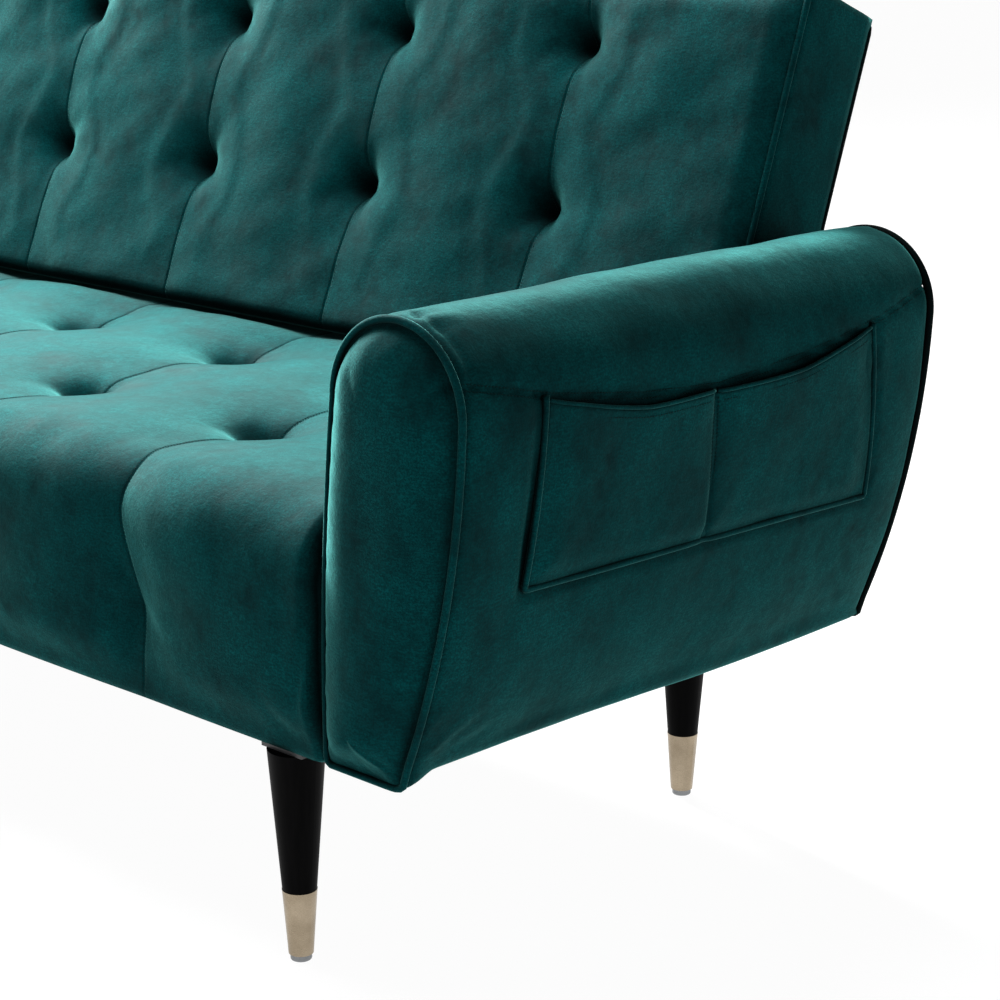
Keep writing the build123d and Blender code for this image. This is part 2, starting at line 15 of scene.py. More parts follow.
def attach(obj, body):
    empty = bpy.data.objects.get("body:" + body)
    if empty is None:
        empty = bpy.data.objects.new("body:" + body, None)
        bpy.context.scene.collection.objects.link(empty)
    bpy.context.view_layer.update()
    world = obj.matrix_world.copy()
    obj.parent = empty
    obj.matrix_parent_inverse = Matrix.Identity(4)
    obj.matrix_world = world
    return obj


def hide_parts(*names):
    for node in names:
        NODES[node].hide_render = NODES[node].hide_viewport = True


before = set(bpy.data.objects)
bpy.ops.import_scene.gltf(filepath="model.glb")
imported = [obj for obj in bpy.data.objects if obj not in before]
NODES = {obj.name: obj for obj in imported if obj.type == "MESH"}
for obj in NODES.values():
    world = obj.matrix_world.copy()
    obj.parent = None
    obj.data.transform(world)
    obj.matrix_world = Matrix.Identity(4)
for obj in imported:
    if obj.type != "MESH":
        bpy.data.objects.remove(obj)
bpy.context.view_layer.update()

# ---- dimensions shared with the CAD, in millimetres ----
ROW_SHIFT_Y = -354.99
HALF = 900.0
ARM_LENGTH = 596.0
SEAT_REACH = 895.0
SEAT_FRONT, SEAT_REAR = 4.0, 545.0
SEAT_BOTTOM, SEAT_TOP = 187.0, 394.0
BACK_FOOT = (484.0, 397.0)
BACK_LEAN = math.radians(20.0)
BACK_REACH = 896.0
BACK_LOW, BACK_HIGH = 3.0, 391.0
BACK_THICK = 100.0
PANEL = 256.0
SEAT_COLUMNS = [631.4 - PANEL * i for i in range(6)]
BACK_COLUMNS = [640.0 - PANEL * i for i in range(6)]
SEAT_ROWS = (179.0, 366.0)
BACK_ROWS = (160.0, 325.0)
FACE_TUFT_Z = 268.0
NOTCH_X, NOTCH_Y = 872.0, 430.0
STITCH_PITCH, STITCH_LENGTH = 3.4, 2.1
WAVE_COUNT = 9
LEGS = [(x, y) for x in (-842.0, 0.0, 842.0) for y in (22.0, 518.0)]


# ---- small helpers ----
def to_row(points):
    """Drawing millimetres to row-frame metres."""
    return (np.asarray(points, float) + [0.0, ROW_SHIFT_Y, 0.0]) / 1000.0


def smooth(t):
    """Smoothstep of t, clamped to 0..1."""
    t = np.clip(t, 0.0, 1.0)
    return t * t * (3 - 2 * t)


def bell(t):
    """A bump of height 1 at t = 0 that has faded by about t = 2."""
    return np.exp(-(t ** 2))


def crown(t, power):
    """A rise from 0 at t = 0 to 1 at t = 1, steepest at its foot."""
    return 1 - (1 - np.clip(t, 0, 1)) ** power


def add_object(name, data):
    """An object made of the data, in the scene."""
    obj = bpy.data.objects.new(name, data)
    bpy.context.scene.collection.objects.link(obj)
    return obj


def new_object(name, points, faces, material, body):
    """A smooth-shaded mesh object that rides on a body."""
    mesh = bpy.data.meshes.new(name)
    mesh.from_pydata(to_row(points).tolist(), [], [list(map(int, f)) for f in faces])
    mesh.validate()
    mesh.polygons.foreach_set("use_smooth", [True] * len(mesh.polygons))
    mesh.materials.append(material)
    obj = add_object(name, mesh)
    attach(obj, body)
    return obj


def grid_faces(rows, columns, wrap_rows=False, wrap_columns=False, start=0):
    """Quads over a rows x columns grid of vertices."""
    down, across = np.arange(rows - (not wrap_rows)), np.arange(columns - (not wrap_columns))
    i, j = np.meshgrid(down, across, indexing="ij")
    i2, j2 = (i + 1) % rows, (j + 1) % columns
    quads = np.stack([i * columns + j, i2 * columns + j, i2 * columns + j2, i * columns + j2], -1)
    return (quads.reshape(-1, 4) + start).tolist()


def grid_rim(rows, columns):
    """The border vertices of a rows x columns grid, once round."""
    rim = [i * columns for i in range(rows)] + [(rows - 1) * columns + j for j in range(1, columns)]
    rim += [i * columns + columns - 1 for i in range(rows - 2, -1, -1)]
    return rim + list(range(columns - 2, 0, -1))


def turned(ring):
    """The same closed list started one place later, to pair each entry with its next."""
    return ring[1:] + ring[:1]


def nearest(values, target):
    """Index of the value closest to the target."""
    return int(np.argmin(np.abs(values - target)))


def graded(low, high, step, centres, offsets):
    """Sample positions from low to high, finer beside the given centres."""
    values = list(np.linspace(low, high, int(round((high - low) / step)) + 1))
    fine = [c + s * o for c in centres for o in offsets for s in (-1, 1)]
    fine = sorted(set(round(v, 4) for v in fine if low < v < high))
    values = [v for v in values if v in (low, high) or all(abs(v - f) > 0.45 * step for f in fine)]
    return np.array(sorted(values + fine))


def waves(points, size, seed):
    """Soft random undulation about -1..1: a sum of plane waves about size millimetres long."""
    rng = np.random.default_rng(seed)
    total = np.zeros(points.shape[:-1])
    for _ in range(WAVE_COUNT):
        direction = rng.normal(size=3)
        direction /= np.linalg.norm(direction)
        length = size * rng.uniform(0.7, 1.6)
        total += np.sin(points @ direction * (2 * math.pi / length) + rng.uniform(0, 6.28))
    return total / math.sqrt(WAVE_COUNT)


def folds(points, lines):
    """Heights of soft ridges or valleys along straight lines: (from, to, half width, height) each."""
    total = np.zeros(points.shape[:-1])
    for a, b, width, height in lines:
        a, b = np.array(a, float), np.array(b, float)
        run = b - a
        t = ((points - a) @ run) / (run @ run)
        near = a + np.clip(t, 0, 1)[..., None] * run
        gap = np.linalg.norm(points - near, axis=-1)
        fade = smooth(np.clip(t, 0, 1) / 0.15) * smooth((1 - np.clip(t, 0, 1)) / 0.6)
        total += height * fade * bell(gap / width)
    return total


def rounded_loop(corners, radii, step):
    """A closed polyline through corners rounded by radii, resampled about every step."""
    dense = []
    count = len(corners)
    for k in range(count):
        before, here, after = (np.array(corners[(k + d) % count], float) for d in (-1, 0, 1))
        a, b = before - here, after - here
        a, b = a / np.linalg.norm(a), b / np.linalg.norm(b)
        angle = math.acos(np.clip(a @ b, -1, 1))
        back_off = radii[k] / math.tan(angle / 2)
        middle = here + (a + b) / np.linalg.norm(a + b) * radii[k] / math.sin(angle / 2)
        start, end = here + a * back_off, here + b * back_off
        for t in np.linspace(0, 1, 17):
            spoke = (start - middle) * math.cos(t * math.pi / 2) + (end - middle) * math.sin(t * math.pi / 2)
            dense.append(middle + spoke / max(np.linalg.norm(spoke), 1e-9) * radii[k])
    return resample(np.array(dense), step, closed=True)


def resample(points, step, closed=False):
    """Evenly spaced points along a polyline."""
    if closed:
        points = np.vstack([points, points[:1]])
    gaps = np.linalg.norm(np.diff(points, axis=0), axis=1)
    points = points[np.r_[True, gaps > 1e-9]]
    gaps = gaps[gaps > 1e-9]
    along = np.r_[0, np.cumsum(gaps)]
    count = max(3, int(round(along[-1] / step)))
    wanted = np.linspace(0, along[-1], count + 1)
    if closed:
        wanted = wanted[:-1]
    return np.stack([np.interp(wanted, along, points[:, k]) for k in range(points.shape[1])], 1)


def loop_normals(loop):
    """Outward normals of a closed 2-D loop."""
    tangent = np.roll(loop, -1, 0) - np.roll(loop, 1, 0)
    normal = np.stack([tangent[:, 1], -tangent[:, 0]], 1)
    normal /= np.linalg.norm(normal, axis=1)[:, None]
    area = np.sum(loop[:, 0] * np.roll(loop[:, 1], -1) - np.roll(loop[:, 0], -1) * loop[:, 1])
    return normal if area > 0 else -normal


def tube_data(path, radius, sides, closed, start):
    """Vertices and faces of a round tube along a path. radius may be one number per point."""
    path = np.asarray(path, float)
    count = len(path)
    tangent = np.roll(path, -1, 0) - np.roll(path, 1, 0) if closed else np.gradient(path, axis=0)
    tangent /= np.linalg.norm(tangent, axis=1)[:, None]
    normal = np.cross(tangent[0], [0.3, 0.2, 1.0])
    normal /= np.linalg.norm(normal)
    radii = np.broadcast_to(radius, (count,))
    rings = []
    turn = np.linspace(0, 2 * math.pi, sides, endpoint=False)
    for k in range(count):
        normal = normal - tangent[k] * (normal @ tangent[k])
        normal /= np.linalg.norm(normal)
        side = np.cross(tangent[k], normal)
        rings.append(path[k] + radii[k] * (np.cos(turn)[:, None] * normal + np.sin(turn)[:, None] * side))
    points = np.concatenate(rings)
    faces = grid_faces(count, sides, closed, True, start)
    if not closed:
        faces.append([start + k for k in range(sides)])
        faces.append([start + (count - 1) * sides + k for k in reversed(range(sides))])
    return points, faces


def make_tubes(name, paths, radius, material, body, sides=10, closed=False):
    """One or more round tubes as one object."""
    points, faces, used = [], [], 0
    for path in paths:
        more_points, more_faces = tube_data(path, radius, sides, closed, used)
        points.append(more_points)
        faces += more_faces
        used += len(more_points)
    return new_object(name, np.concatenate(points), faces, material, body)


def make_stitches(name, paths, body, radius=0.22):
    """Rows of single thread stitches along paths, as one mesh of short rounded tubes."""
    spines = []
    for path in paths:
        line = resample(np.asarray(path, float), STITCH_PITCH)
        for a, b in zip(line[:-1], line[1:]):
            run = b - a
            size = np.linalg.norm(run)
            if size >= 0.5 * STITCH_PITCH:
                share = STITCH_LENGTH / size
                spines.append([a + run * share * t for t in (0, 0.15, 0.5, 0.85, 1)])
    return make_tubes(name, spines, radius * np.array([0.45, 0.9, 1.0, 0.9, 0.45]), THREAD, body, 6)


def settle(pad, held, pressure=6.0, cap=0.004, steps=12):
    """Swells a pad as cloth under pressure between its held points, none moving as far as cap metres."""
    group = pad.vertex_groups.new(name="held")
    for level in range(1, 11):
        chosen = np.nonzero(np.round(held * 10) == level)[0]
        group.add(chosen.tolist(), level / 10, "REPLACE")
    cloth = pad.modifiers.new("settle", "CLOTH")
    cloth.collision_settings.use_collision = False
    cloth.point_cache.frame_start, cloth.point_cache.frame_end = 1, steps
    settings = cloth.settings
    settings.quality = 5
    settings.mass = 0.3
    settings.tension_stiffness = settings.compression_stiffness = 12.0
    settings.shear_stiffness, settings.bending_stiffness = 4.0, 0.3
    settings.use_pressure, settings.uniform_pressure_force = True, pressure
    settings.effector_weights.gravity = 0.0
    settings.vertex_group_mass = "held"
    for step in range(1, steps + 1):
        bpy.context.scene.frame_set(step)
    swollen = pad.evaluated_get(bpy.context.evaluated_depsgraph_get()).data
    start, end = (np.empty(3 * len(pad.data.vertices)) for _ in range(2))
    pad.data.vertices.foreach_get("co", start)
    swollen.vertices.foreach_get("co", end)
    move = (end - start).reshape(-1, 3)
    far = np.linalg.norm(move, axis=1)
    move *= (cap * np.tanh(far / cap) / np.maximum(far, 1e-9))[:, None]
    pad.modifiers.clear()
    pad.vertex_groups.remove(group)
    pad.data.vertices.foreach_set("co", start + move.ravel())
    pad.data.update()
    bpy.context.scene.frame_set(1)


# ---- materials ----
BLACK, WHITE = (0.0, 0.0, 0.0), (1.0, 1.0, 1.0)


class Nodes:
    """A short way to wire one node material."""

    def __init__(self, name):
        self.material = bpy.data.materials.new(name)
        self.material.use_nodes = True
        self.tree = self.material.node_tree
        self.shader = self.tree.nodes["Principled BSDF"]
        self.where = self.add("ShaderNodeTexCoord").outputs["Object"]

    def put(self, socket, value):
        """Links a socket to an output, or sets it to a plain value."""
        if isinstance(value, bpy.types.NodeSocket):
            self.tree.links.new(value, socket)
        else:
            socket.default_value = value

    def add(self, kind, links=(), **values):
        """One node, with its sockets set to values or linked to outputs."""
        node = self.tree.nodes.new(kind)
        for key, value in values.items():
            setattr(node, key, value)
        for key, value in links:
            self.put(node.inputs[key], value)
        return node

    def noise(self, scale, detail=3.0, rough=0.55, stretch=(1, 1, 1)):
        """A noise texture over object space, per metre, stretched along the axes."""
        mapping = self.add("ShaderNodeMapping", [("Vector", self.where), ("Scale", stretch)])
        links = [("Vector", mapping.outputs[0]), ("Scale", scale), ("Detail", detail), ("Roughness", rough)]
        return self.add("ShaderNodeTexNoise", links).outputs["Fac"]

    def ramp(self, value, low, high, a, b):
        """Maps value from low..high onto the colours a..b."""
        node = self.add("ShaderNodeValToRGB", [("Fac", value)])
        for element, place, colour in zip(node.color_ramp.elements, (low, high), (a, b)):
            element.position = place
            element.color = (*colour, 1)
        return node.outputs["Color"]

    def mix(self, value, a, b):
        """Mixes two colours by value."""
        node = self.add("ShaderNodeMix", data_type="RGBA")
        self.put(node.inputs["Factor"], value)
        for key, colour in ((6, a), (7, b)):
            self.put(node.inputs[key], (*colour, 1) if isinstance(colour, tuple) else colour)
        return node.outputs[2]

    def span(self, value, low, high, a, b):
        """Maps value from low..high onto the numbers a..b."""
        links = [("Value", value), ("From Min", low), ("From Max", high), ("To Min", a), ("To Max", b)]
        return self.add("ShaderNodeMapRange", links).outputs["Result"]

    def bump(self, height, distance, strength=1.0, under=None):
        """A bump from height, over another normal if one is given."""
        links = [("Height", height), ("Distance", distance), ("Strength", strength)]
        if under is not None:
            links.append(("Normal", under))
        return self.add("ShaderNodeBump", links).outputs["Normal"]

    def set(self, **values):
        """Sets or links the shader's own sockets."""
        for key, value in values.items():
            self.put(self.shader.inputs[key.replace("_", " ")], value)
        return self.material


def velvet(name, dark, light, sheen_tint, sheen=1.0):
    """Short-pile velvet: brushed patches of nap, a fine pile, sheen, and painted shade that darkens the
    colour and the sheen in the creases.
    """
    n = Nodes(name)
    broad = n.noise(5.0, 3.0, 0.55)
    strokes = n.noise(17.0, 5.0, 0.58, (1.0, 1.0, 0.8))
    marks = n.noise(62.0, 4.0, 0.6)
    pile = n.noise(620.0, 2.0, 0.6)
    weave = n.noise(700.0, 1.0, 0.5, (0.22, 0.22, 1.0))
    nap = n.mix(n.span(marks, 0.3, 0.7, 0.1, 0.6), n.ramp(strokes, 0.34, 0.66, BLACK, WHITE), (0.5, 0.5, 0.5))
    nap = n.mix(n.span(broad, 0.3, 0.7, 0.0, 0.45), nap, n.ramp(marks, 0.36, 0.64, BLACK, WHITE))
    nap = n.mix(n.span(pile, 0.40, 0.60, 0.0, 0.55), nap, BLACK)
    nap = n.mix(n.span(weave, 0.38, 0.62, 0.0, 0.35), nap, BLACK)
    # Painted shade: an ambient occlusion node darkens the base colour and the sheen tint in creases, pits,
    # grooves and corners.
    near = n.add("ShaderNodeAmbientOcclusion", [("Distance", 0.04)], samples=6).outputs["AO"]
    painted_shade_factor = n.span(near, 0.45, 0.96, 0.0, 1.0)
    tint = n.ramp(nap, 0.0, 0.85, tuple(0.62 * c for c in sheen_tint), sheen_tint)
    tint = n.mix(painted_shade_factor, tuple(0.12 * c for c in sheen_tint), tint)
    colour = n.mix(painted_shade_factor, tuple(0.2 * c for c in dark), n.ramp(nap, 0.0, 0.9, dark, light))
    height = n.bump(pile, 0.0004, 0.5)
    height = n.bump(weave, 0.0002, 0.4, height)
    height = n.bump(marks, 0.0010, 0.4, height)
    height = n.bump(strokes, 0.0022, 0.45, height)
    rough = n.span(strokes, 0.3, 0.7, 0.78, 0.95)
    return n.set(Base_Color=colour, Roughness=rough, Normal=height, Specular_IOR_Level=0.03,
                 Sheen_Weight=sheen, Sheen_Roughness=0.34, Sheen_Tint=tint)


def thread(name, colour):
    """Polyester sewing thread."""
    n = Nodes(name)
    twist = n.noise(2600.0, 1.0, 0.5, (1, 1, 0.3))
    tone = n.ramp(twist, 0.35, 0.65, tuple(0.6 * c for c in colour), colour)
    return n.set(Base_Color=tone, Roughness=0.75, Normal=n.bump(twist, 0.0002), Specular_IOR_Level=0.1)


def lacquered_wood():
    """Turned wood under satin black lacquer, with the grain just showing and rubbed a little."""
    n = Nodes("black_lacquered_wood")
    grain = n.noise(260.0, 4.0, 0.6, (1, 1, 0.06))
    cloud = n.noise(18.0, 3.0)
    colour = n.ramp(grain, 0.35, 0.75, (0.0004, 0.0004, 0.0005), (0.0016, 0.0015, 0.0017))
    rough = n.span(cloud, 0.3, 0.7, 0.42, 0.52)
    return n.set(Base_Color=colour, Roughness=rough, Normal=n.bump(grain, 0.0002, 0.35),
                 Specular_IOR_Level=0.03)


def metal(name, dark, light, rough, lines=(1, 1, 14), scale=260.0, metallic=1.0):
    """Brushed or drawn metal with fine lines and a little tarnish."""
    n = Nodes(name)
    brush = n.noise(scale, 4.0, 0.7, lines)
    stain = n.noise(38.0, 3.0)
    colour = n.mix(n.span(stain, 0.35, 0.7, 0.0, 0.55), light, dark)
    colour = n.mix(n.span(brush, 0.3, 0.7, 0.0, 0.35), colour, dark)
    rough = n.span(brush, 0.3, 0.7, rough - 0.07, rough + 0.09)
    return n.set(Base_Color=colour, Metallic=metallic, Roughness=rough, Normal=n.bump(brush, 0.00006, 0.5))


def plain_wood(name, dark, light, along):
    """Unfinished timber or plywood with grain along one axis."""
    n = Nodes(name)
    stretch = tuple(0.07 if a == along else 1.0 for a in "xyz")
    grain = n.noise(120.0, 5.0, 0.6, stretch)
    pores = n.noise(620.0, 2.0, 0.5, stretch)
    colour = n.mix(n.span(pores, 0.4, 0.7, 0.0, 0.4), n.ramp(grain, 0.3, 0.7, dark, light), dark)
    return n.set(Base_Color=colour, Roughness=0.72, Normal=n.bump(grain, 0.0005, 0.5))


def moulded(name, colour, rough):
    """Moulded plastic with a faint spark-eroded texture."""
    n = Nodes(name)
    texture = n.noise(1400.0, 2.0)
    tone = n.ramp(n.noise(60.0), 0.3, 0.7, tuple(0.75 * c for c in colour), colour)
    return n.set(Base_Color=tone, Roughness=rough, Normal=n.bump(texture, 0.0001, 0.5))


def cloth(name, dark, light):
    """Spun-bonded cloth with dimpled bonding points."""
    n = Nodes(name)
    cell = n.add("ShaderNodeTexVoronoi", [("Vector", n.where), ("Scale", 520.0)]).outputs["Distance"]
    fibre = n.noise(1500.0, 3.0)
    colour = n.mix(n.span(fibre, 0.3, 0.7, 0.0, 0.8), n.ramp(cell, 0.1, 0.5, dark, light), dark)
    return n.set(Base_Color=colour, Roughness=0.92, Normal=n.bump(cell, 0.0002, 0.5), Sheen_Weight=0.15)


def foam():
    """Open-cell foam."""
    n = Nodes("upholstery_foam")
    cells = n.add("ShaderNodeTexVoronoi", [("Vector", n.where), ("Scale", 900.0)]).outputs["Distance"]
    colour = n.ramp(cells, 0.1, 0.6, (0.55, 0.48, 0.32), (0.80, 0.74, 0.55))
    return n.set(Base_Color=colour, Roughness=0.95, Normal=n.bump(cells, 0.0006, 0.7))


VELVET = velvet("green_velvet", (0.0, 0.0105, 0.0122), (0.0, 0.060, 0.0630), (0.25, 1.0, 0.93), 0.47)
VELVET_ROLL = velvet("green_velvet_roll", (0.0, 0.010, 0.012), (0.0, 0.060, 0.063), (0.25, 0.9, 0.84), 0.45)
VELVET_DARK = velvet("black_green_velvet", (0.0008, 0.003, 0.003), (0.0015, 0.006, 0.006),
                     (0.02, 0.05, 0.05), 0.25)
THREAD = thread("green_thread", (0.0008, 0.018, 0.018))
BLACK_WOOD = lacquered_wood()
BRASS = metal("brushed_brass", (0.20, 0.155, 0.10), (0.42, 0.345, 0.25), 0.27)
ZINC = metal("zinc_plate", (0.30, 0.30, 0.30), (0.62, 0.62, 0.60), 0.38, (1, 1, 1), 90.0)
WIRE = metal("drawn_wire", (0.18, 0.18, 0.19), (0.45, 0.45, 0.46), 0.36, (1, 0.1, 1), 400.0)
BLACK_STEEL = metal("powder_coat", (0.012, 0.012, 0.013), (0.035, 0.035, 0.037), 0.5, (1, 1, 1), 900.0, 0.0)
SOFTWOOD = ((0.38, 0.24, 0.12), (0.66, 0.48, 0.28))
TIMBER_X = plain_wood("softwood_long", *SOFTWOOD, "x")
TIMBER_Y = plain_wood("softwood_cross", *SOFTWOOD, "y")
TIMBER_Z = plain_wood("softwood_upright", *SOFTWOOD, "z")
PLYWOOD = plain_wood("plywood", (0.46, 0.33, 0.19), (0.72, 0.57, 0.37), "y")
PLASTIC = moulded("black_plastic", (0.028, 0.028, 0.03), 0.48)
GLIDE = moulded("grey_glide_plastic", (0.30, 0.31, 0.32), 0.45)
BLACK_CLOTH = cloth("black_nonwoven", (0.006, 0.006, 0.007), (0.02, 0.02, 0.022))
FOAM = foam()
TWINE = thread("tufting_twine", (0.55, 0.50, 0.40))

NODE_MATERIALS = [  # the first row with a start that fits a node's name gives its material
    (BRASS, "leg_ferrules"), (GLIDE, "leg_glides"), (TWINE, "seat_tuft_ties back_tuft_ties"),
    (BLACK_STEEL, "leg_plates hinge_seat_plate hinge_back_strap pawl_left pawl_right"),
    (ZINC, "leg_bolts arm_bolts hinge_pins hinge_seat_bolts hinge_strap_bolts"), (BLACK_WOOD, "leg_"),
    (WIRE, "seat_springs back_springs pawl_springs"), (PLASTIC, "seat_spring_clips back_spring_clips"),
    (TIMBER_X, "front_rail rear_rail back_top_rail back_bottom_rail"),
    (TIMBER_Z, "corner_blocks back_side_rails back_cross_rails"),
    (TIMBER_Y, "end_rail cross_rails arm_rails"),
    (PLYWOOD, "arm_side_panel arm_formers"), (FOAM, "arm_foam seat_foam back_foam"),
    (BLACK_CLOTH, "seat_dust_cover"), (VELVET_DARK, "back_piping"),
    (VELVET, "arm_cover arm_pocket arm_piping seat_cover back_cover"),
]


def dress_nodes():
    """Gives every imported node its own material."""
    for name, obj in NODES.items():
        material = next(m for m, starts in NODE_MATERIALS if name.startswith(tuple(starts.split())))
        obj.data.materials.clear()
        obj.data.materials.append(material)


# ---- tufting shared by seat and backrest ----
def seam_gap(x, columns):
    """Distance across to the nearest seam."""
    return np.min([np.abs(x - c) for c in columns], axis=0)


TUFT_STEPS = (0, 0.9, 2.0, 3.6, 6.0, 9.0, 12.5, 16.5, 21.0)


def pit(across, along, depth, wide, tall, sharp=0.7):
    """A tuft's hollow: a cusp at its middle that spreads softly."""
    r2 = (across / wide) ** 2 + (along / tall) ** 2
    return depth * np.exp(-(r2 ** sharp))


def pleats(across, along, height, seed):
    """Short folds that radiate from a tuft."""
    r = np.hypot(across, along)
    angle = np.arctan2(along, across)
    ripple = np.cos(5 * angle + seed) + 0.6 * np.cos(8 * angle + 2.3 * seed)
    return height * ripple * bell((r - 34.0) / 20.0)


def tufts(x, along, columns, rows, depths, cusp, dip, ripple):
    """How far tufts draw the skin in: a cusp (width, height), a dip (depth, width, height), pleats."""
    drawn = np.zeros(np.shape(x))
    for k, column in enumerate(columns):
        for row, depth in zip(rows, depths):
            across, down = x - column, along - row
            drawn += pit(across, down, depth, *cusp) + pit(across, down, *dip, 1.0)
            drawn -= pleats(across, down, ripple, k + row)
    return drawn


def tuft_freedom(x, along, columns, rows):
    """How free the skin is to swell: 0 at its seams and tufts, 1 in the middle of each panel."""
    free = smooth((seam_gap(x, columns) - 3.0) / 60.0)
    for column in columns:
        for row in rows:
            free = free * smooth((np.hypot(x - column, along - row) - 34.0) / 60.0)
    return free


# ---- seat ----
def refine(loop, rows):
    """The loop with a point added between its points on the top near each tuft row."""
    dense = []
    for here, after in zip(loop, np.roll(loop, -1, 0)):
        dense.append(here)
        if here[1] > 300 and min(abs(here[0] - row) for row in rows) < 30:
            dense.append((here + after) / 2)
    return np.array(dense)


def seat_surface(x, loop, normal):
    """The seat's skin over stations x and the profile loop, with its crowns, seams and tufts."""
    y, z = (np.broadcast_to(part, (len(x), len(loop))) for part in loop.T)
    across = np.broadcast_to(x[:, None], y.shape)
    gap = seam_gap(across, SEAT_COLUMNS)
    on_top = smooth((z - 350) / 35)
    on_front = smooth((140 - y) / 80) * smooth((z - 192) / 50)
    skirt = np.maximum(on_top * smooth((492 - y) / 40), on_front)
    puff = (7.0 + 8.0 * smooth((60 - y) / 50)) * crown(gap / (PANEL / 2), 2.4)
    groove = 0.6 * bell(gap / 1.5) * smooth((z - 188) / 10)
    lift = skirt * puff - 2.0 * on_top * skirt
    lift += 2.5 * on_top * smooth((y - 420) / 30) * smooth((474 - y) / 16)
    inner = on_top * smooth((480 - y) / 40)
    face = smooth((60 - y) / 40)
    lift -= inner * tufts(across, y, SEAT_COLUMNS, SEAT_ROWS, depths=(33.0, 31.0), cusp=(21, 18),
                          dip=(9.0, 70, 56), ripple=0.5)
    for k, column in enumerate(SEAT_COLUMNS):
        lift -= face * pit(across - column, z - FACE_TUFT_Z, 8.0, 34, 36, 0.62)
        lift += face * pleats(across - column, z - FACE_TUFT_Z, 0.7, k)
    lift -= groove * (z > 188) * (y < 500)
    points = np.stack([across, y, z], -1)
    skin = smooth((z - 190) / 30)
    lift += skin * (0.9 * waves(points, 130, 3) + 0.35 * waves(points, 55, 4))
    lift += skin * folds(np.abs(points), SEAT_FOLDS)
    out = np.stack([np.zeros_like(y), *np.broadcast_to(normal.T[:, None, :], (2, *y.shape))], -1)
    points = points + lift[..., None] * out
    points[..., 0] += seam_drift(across, y, z)
    return points


def seam_drift(x, y, z):
    """How far the panels and their seams lean outward down the seat's front."""
    down = smooth((78 - y) / 60) * (0.3 + 0.7 * smooth((385 - z) / 150))
    return 38.0 * down * np.tanh(x / 120) * np.clip((SEAT_REACH - np.abs(x)) / 230, 0, 1)


SEAT_FOLDS = [
    ((892, 8, 330), (868, 4, 205), 6.0, -2.0), ((893, 8, 300), (880, 4, 198), 4.0, 1.6),
    ((860, 4, 200), (800, 4, 250), 8.0, -1.4), ((888, 6, 215), (820, 4, 232), 6.0, 1.4),
]


def make_seat():
    """The tufted seat pad with its stitched seams."""
    corners = [(SEAT_FRONT, SEAT_BOTTOM), (SEAT_FRONT, SEAT_TOP)]
    corners += [(SEAT_REAR, SEAT_TOP), (SEAT_REAR, SEAT_BOTTOM)]
    loop = refine(rounded_loop(corners, [7, 58, 36, 7], 6.2), SEAT_ROWS)
    normal = loop_normals(loop)
    x = graded(-SEAT_REACH, SEAT_REACH, 7.0, SEAT_COLUMNS, TUFT_STEPS)
    edge = 16.0
    rounds = [SEAT_REACH - edge * (1 - math.sin(a)) for a in np.linspace(0, math.pi / 2, 6)]
    x = np.array(sorted(set(x) | {side * r for side in (-1, 1) for r in rounds}))
    points = seat_surface(x, loop, normal)
    over = np.clip((np.abs(x) - (SEAT_REACH - edge)) / edge, 0, 1)
    inset = edge * (1 - np.sqrt(1 - over ** 2))
    points[..., 1:] -= inset[:, None, None] * normal[None]
    beyond = smooth((np.abs(points[..., 0]) - (NOTCH_X - 6)) / 5)
    kept = 400 + (points[..., 1] - 400) * (NOTCH_Y - 401) / (SEAT_REAR - 400)
    notched = points[..., 1] * (1 - beyond) + kept * beyond
    points[..., 1] = np.where(points[..., 1] > 400, notched, points[..., 1])
    rows, columns = len(x), len(loop)
    faces = grid_faces(rows, columns, False, True)
    caps = []
    for row, flip in ((0, False), (rows - 1, True)):
        middle = points[row].mean(0)
        base = rows * columns + len(caps)
        caps.append(middle)
        ring = [row * columns + k for k in range(columns)]
        for a, b in zip(ring, turned(ring)):
            faces.append([b, a, base] if not flip else [a, b, base])
    everything = np.vstack([points.reshape(-1, 3), caps])
    pad = new_object("seat_pad", everything, faces, VELVET, "base")
    free = tuft_freedom(x[:, None], loop[:, 0], SEAT_COLUMNS, SEAT_ROWS)
    free = free * smooth((SEAT_REACH - 20 - np.abs(x[:, None])) / 30)
    free = free * smooth((loop[:, 1] - 210) / 30) * smooth((470 - loop[:, 0]) / 30)
    settle(pad, np.r_[1.0 - free.ravel(), 1.0, 1.0])
    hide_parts("seat_cover", "seat_foam")
    stitch_seat(points, x, loop, normal)
    knot_seat(points, x, loop)


def stitch_seat(points, x, loop, normal):
    """Two rows of stitches along each seam, where the seat's skin is open to view."""
    lines = []
    keep = (loop[:, 0] < 436) & (loop[:, 1] > 190)
    proud = 0.05 * np.stack([0 * normal[:, 0], normal[:, 0], normal[:, 1]], 1)
    for column in SEAT_COLUMNS:
        for side in (-1, 1):
            lines.append((points[nearest(x, column + side * 2.0)] + proud)[keep])
    stitches = make_stitches("seat_seam_stitches", lines, "base", radius=0.15)


def knot_seat(points, x, loop):
    """The knots at the bottom of the seat's tufts."""
    knots = []
    for column in SEAT_COLUMNS:
        for row in SEAT_ROWS:
            k = nearest(np.where(loop[:, 1] < 300, 9999.0, loop[:, 0]), row)
            knots.append((points[nearest(x, column), k] + [0, 0, 0.6], (0, 0, 1)))
    ties = make_knots("seat_tuft_knots", knots, "base")
    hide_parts("seat_tuft_ties")


def make_knots(name, places, body):
    """A crossed pair of tight thread loops at the bottom of each tuft."""
    across = np.array([1.0, 0, 0])
    spines = []
    for place, up in places:
        place, up = np.array(place, float), np.array(up, float)
        along = np.cross(up, across)
        for direction in (across + along, across - along):
            reach = direction / np.linalg.norm(direction) * 5.0
            spines.append([place + reach * t + up * (0.9 - 1.25 * t * t) for t in np.linspace(-1, 1, 7)])
    return make_tubes(name, spines, 0.75, THREAD, body, 8)


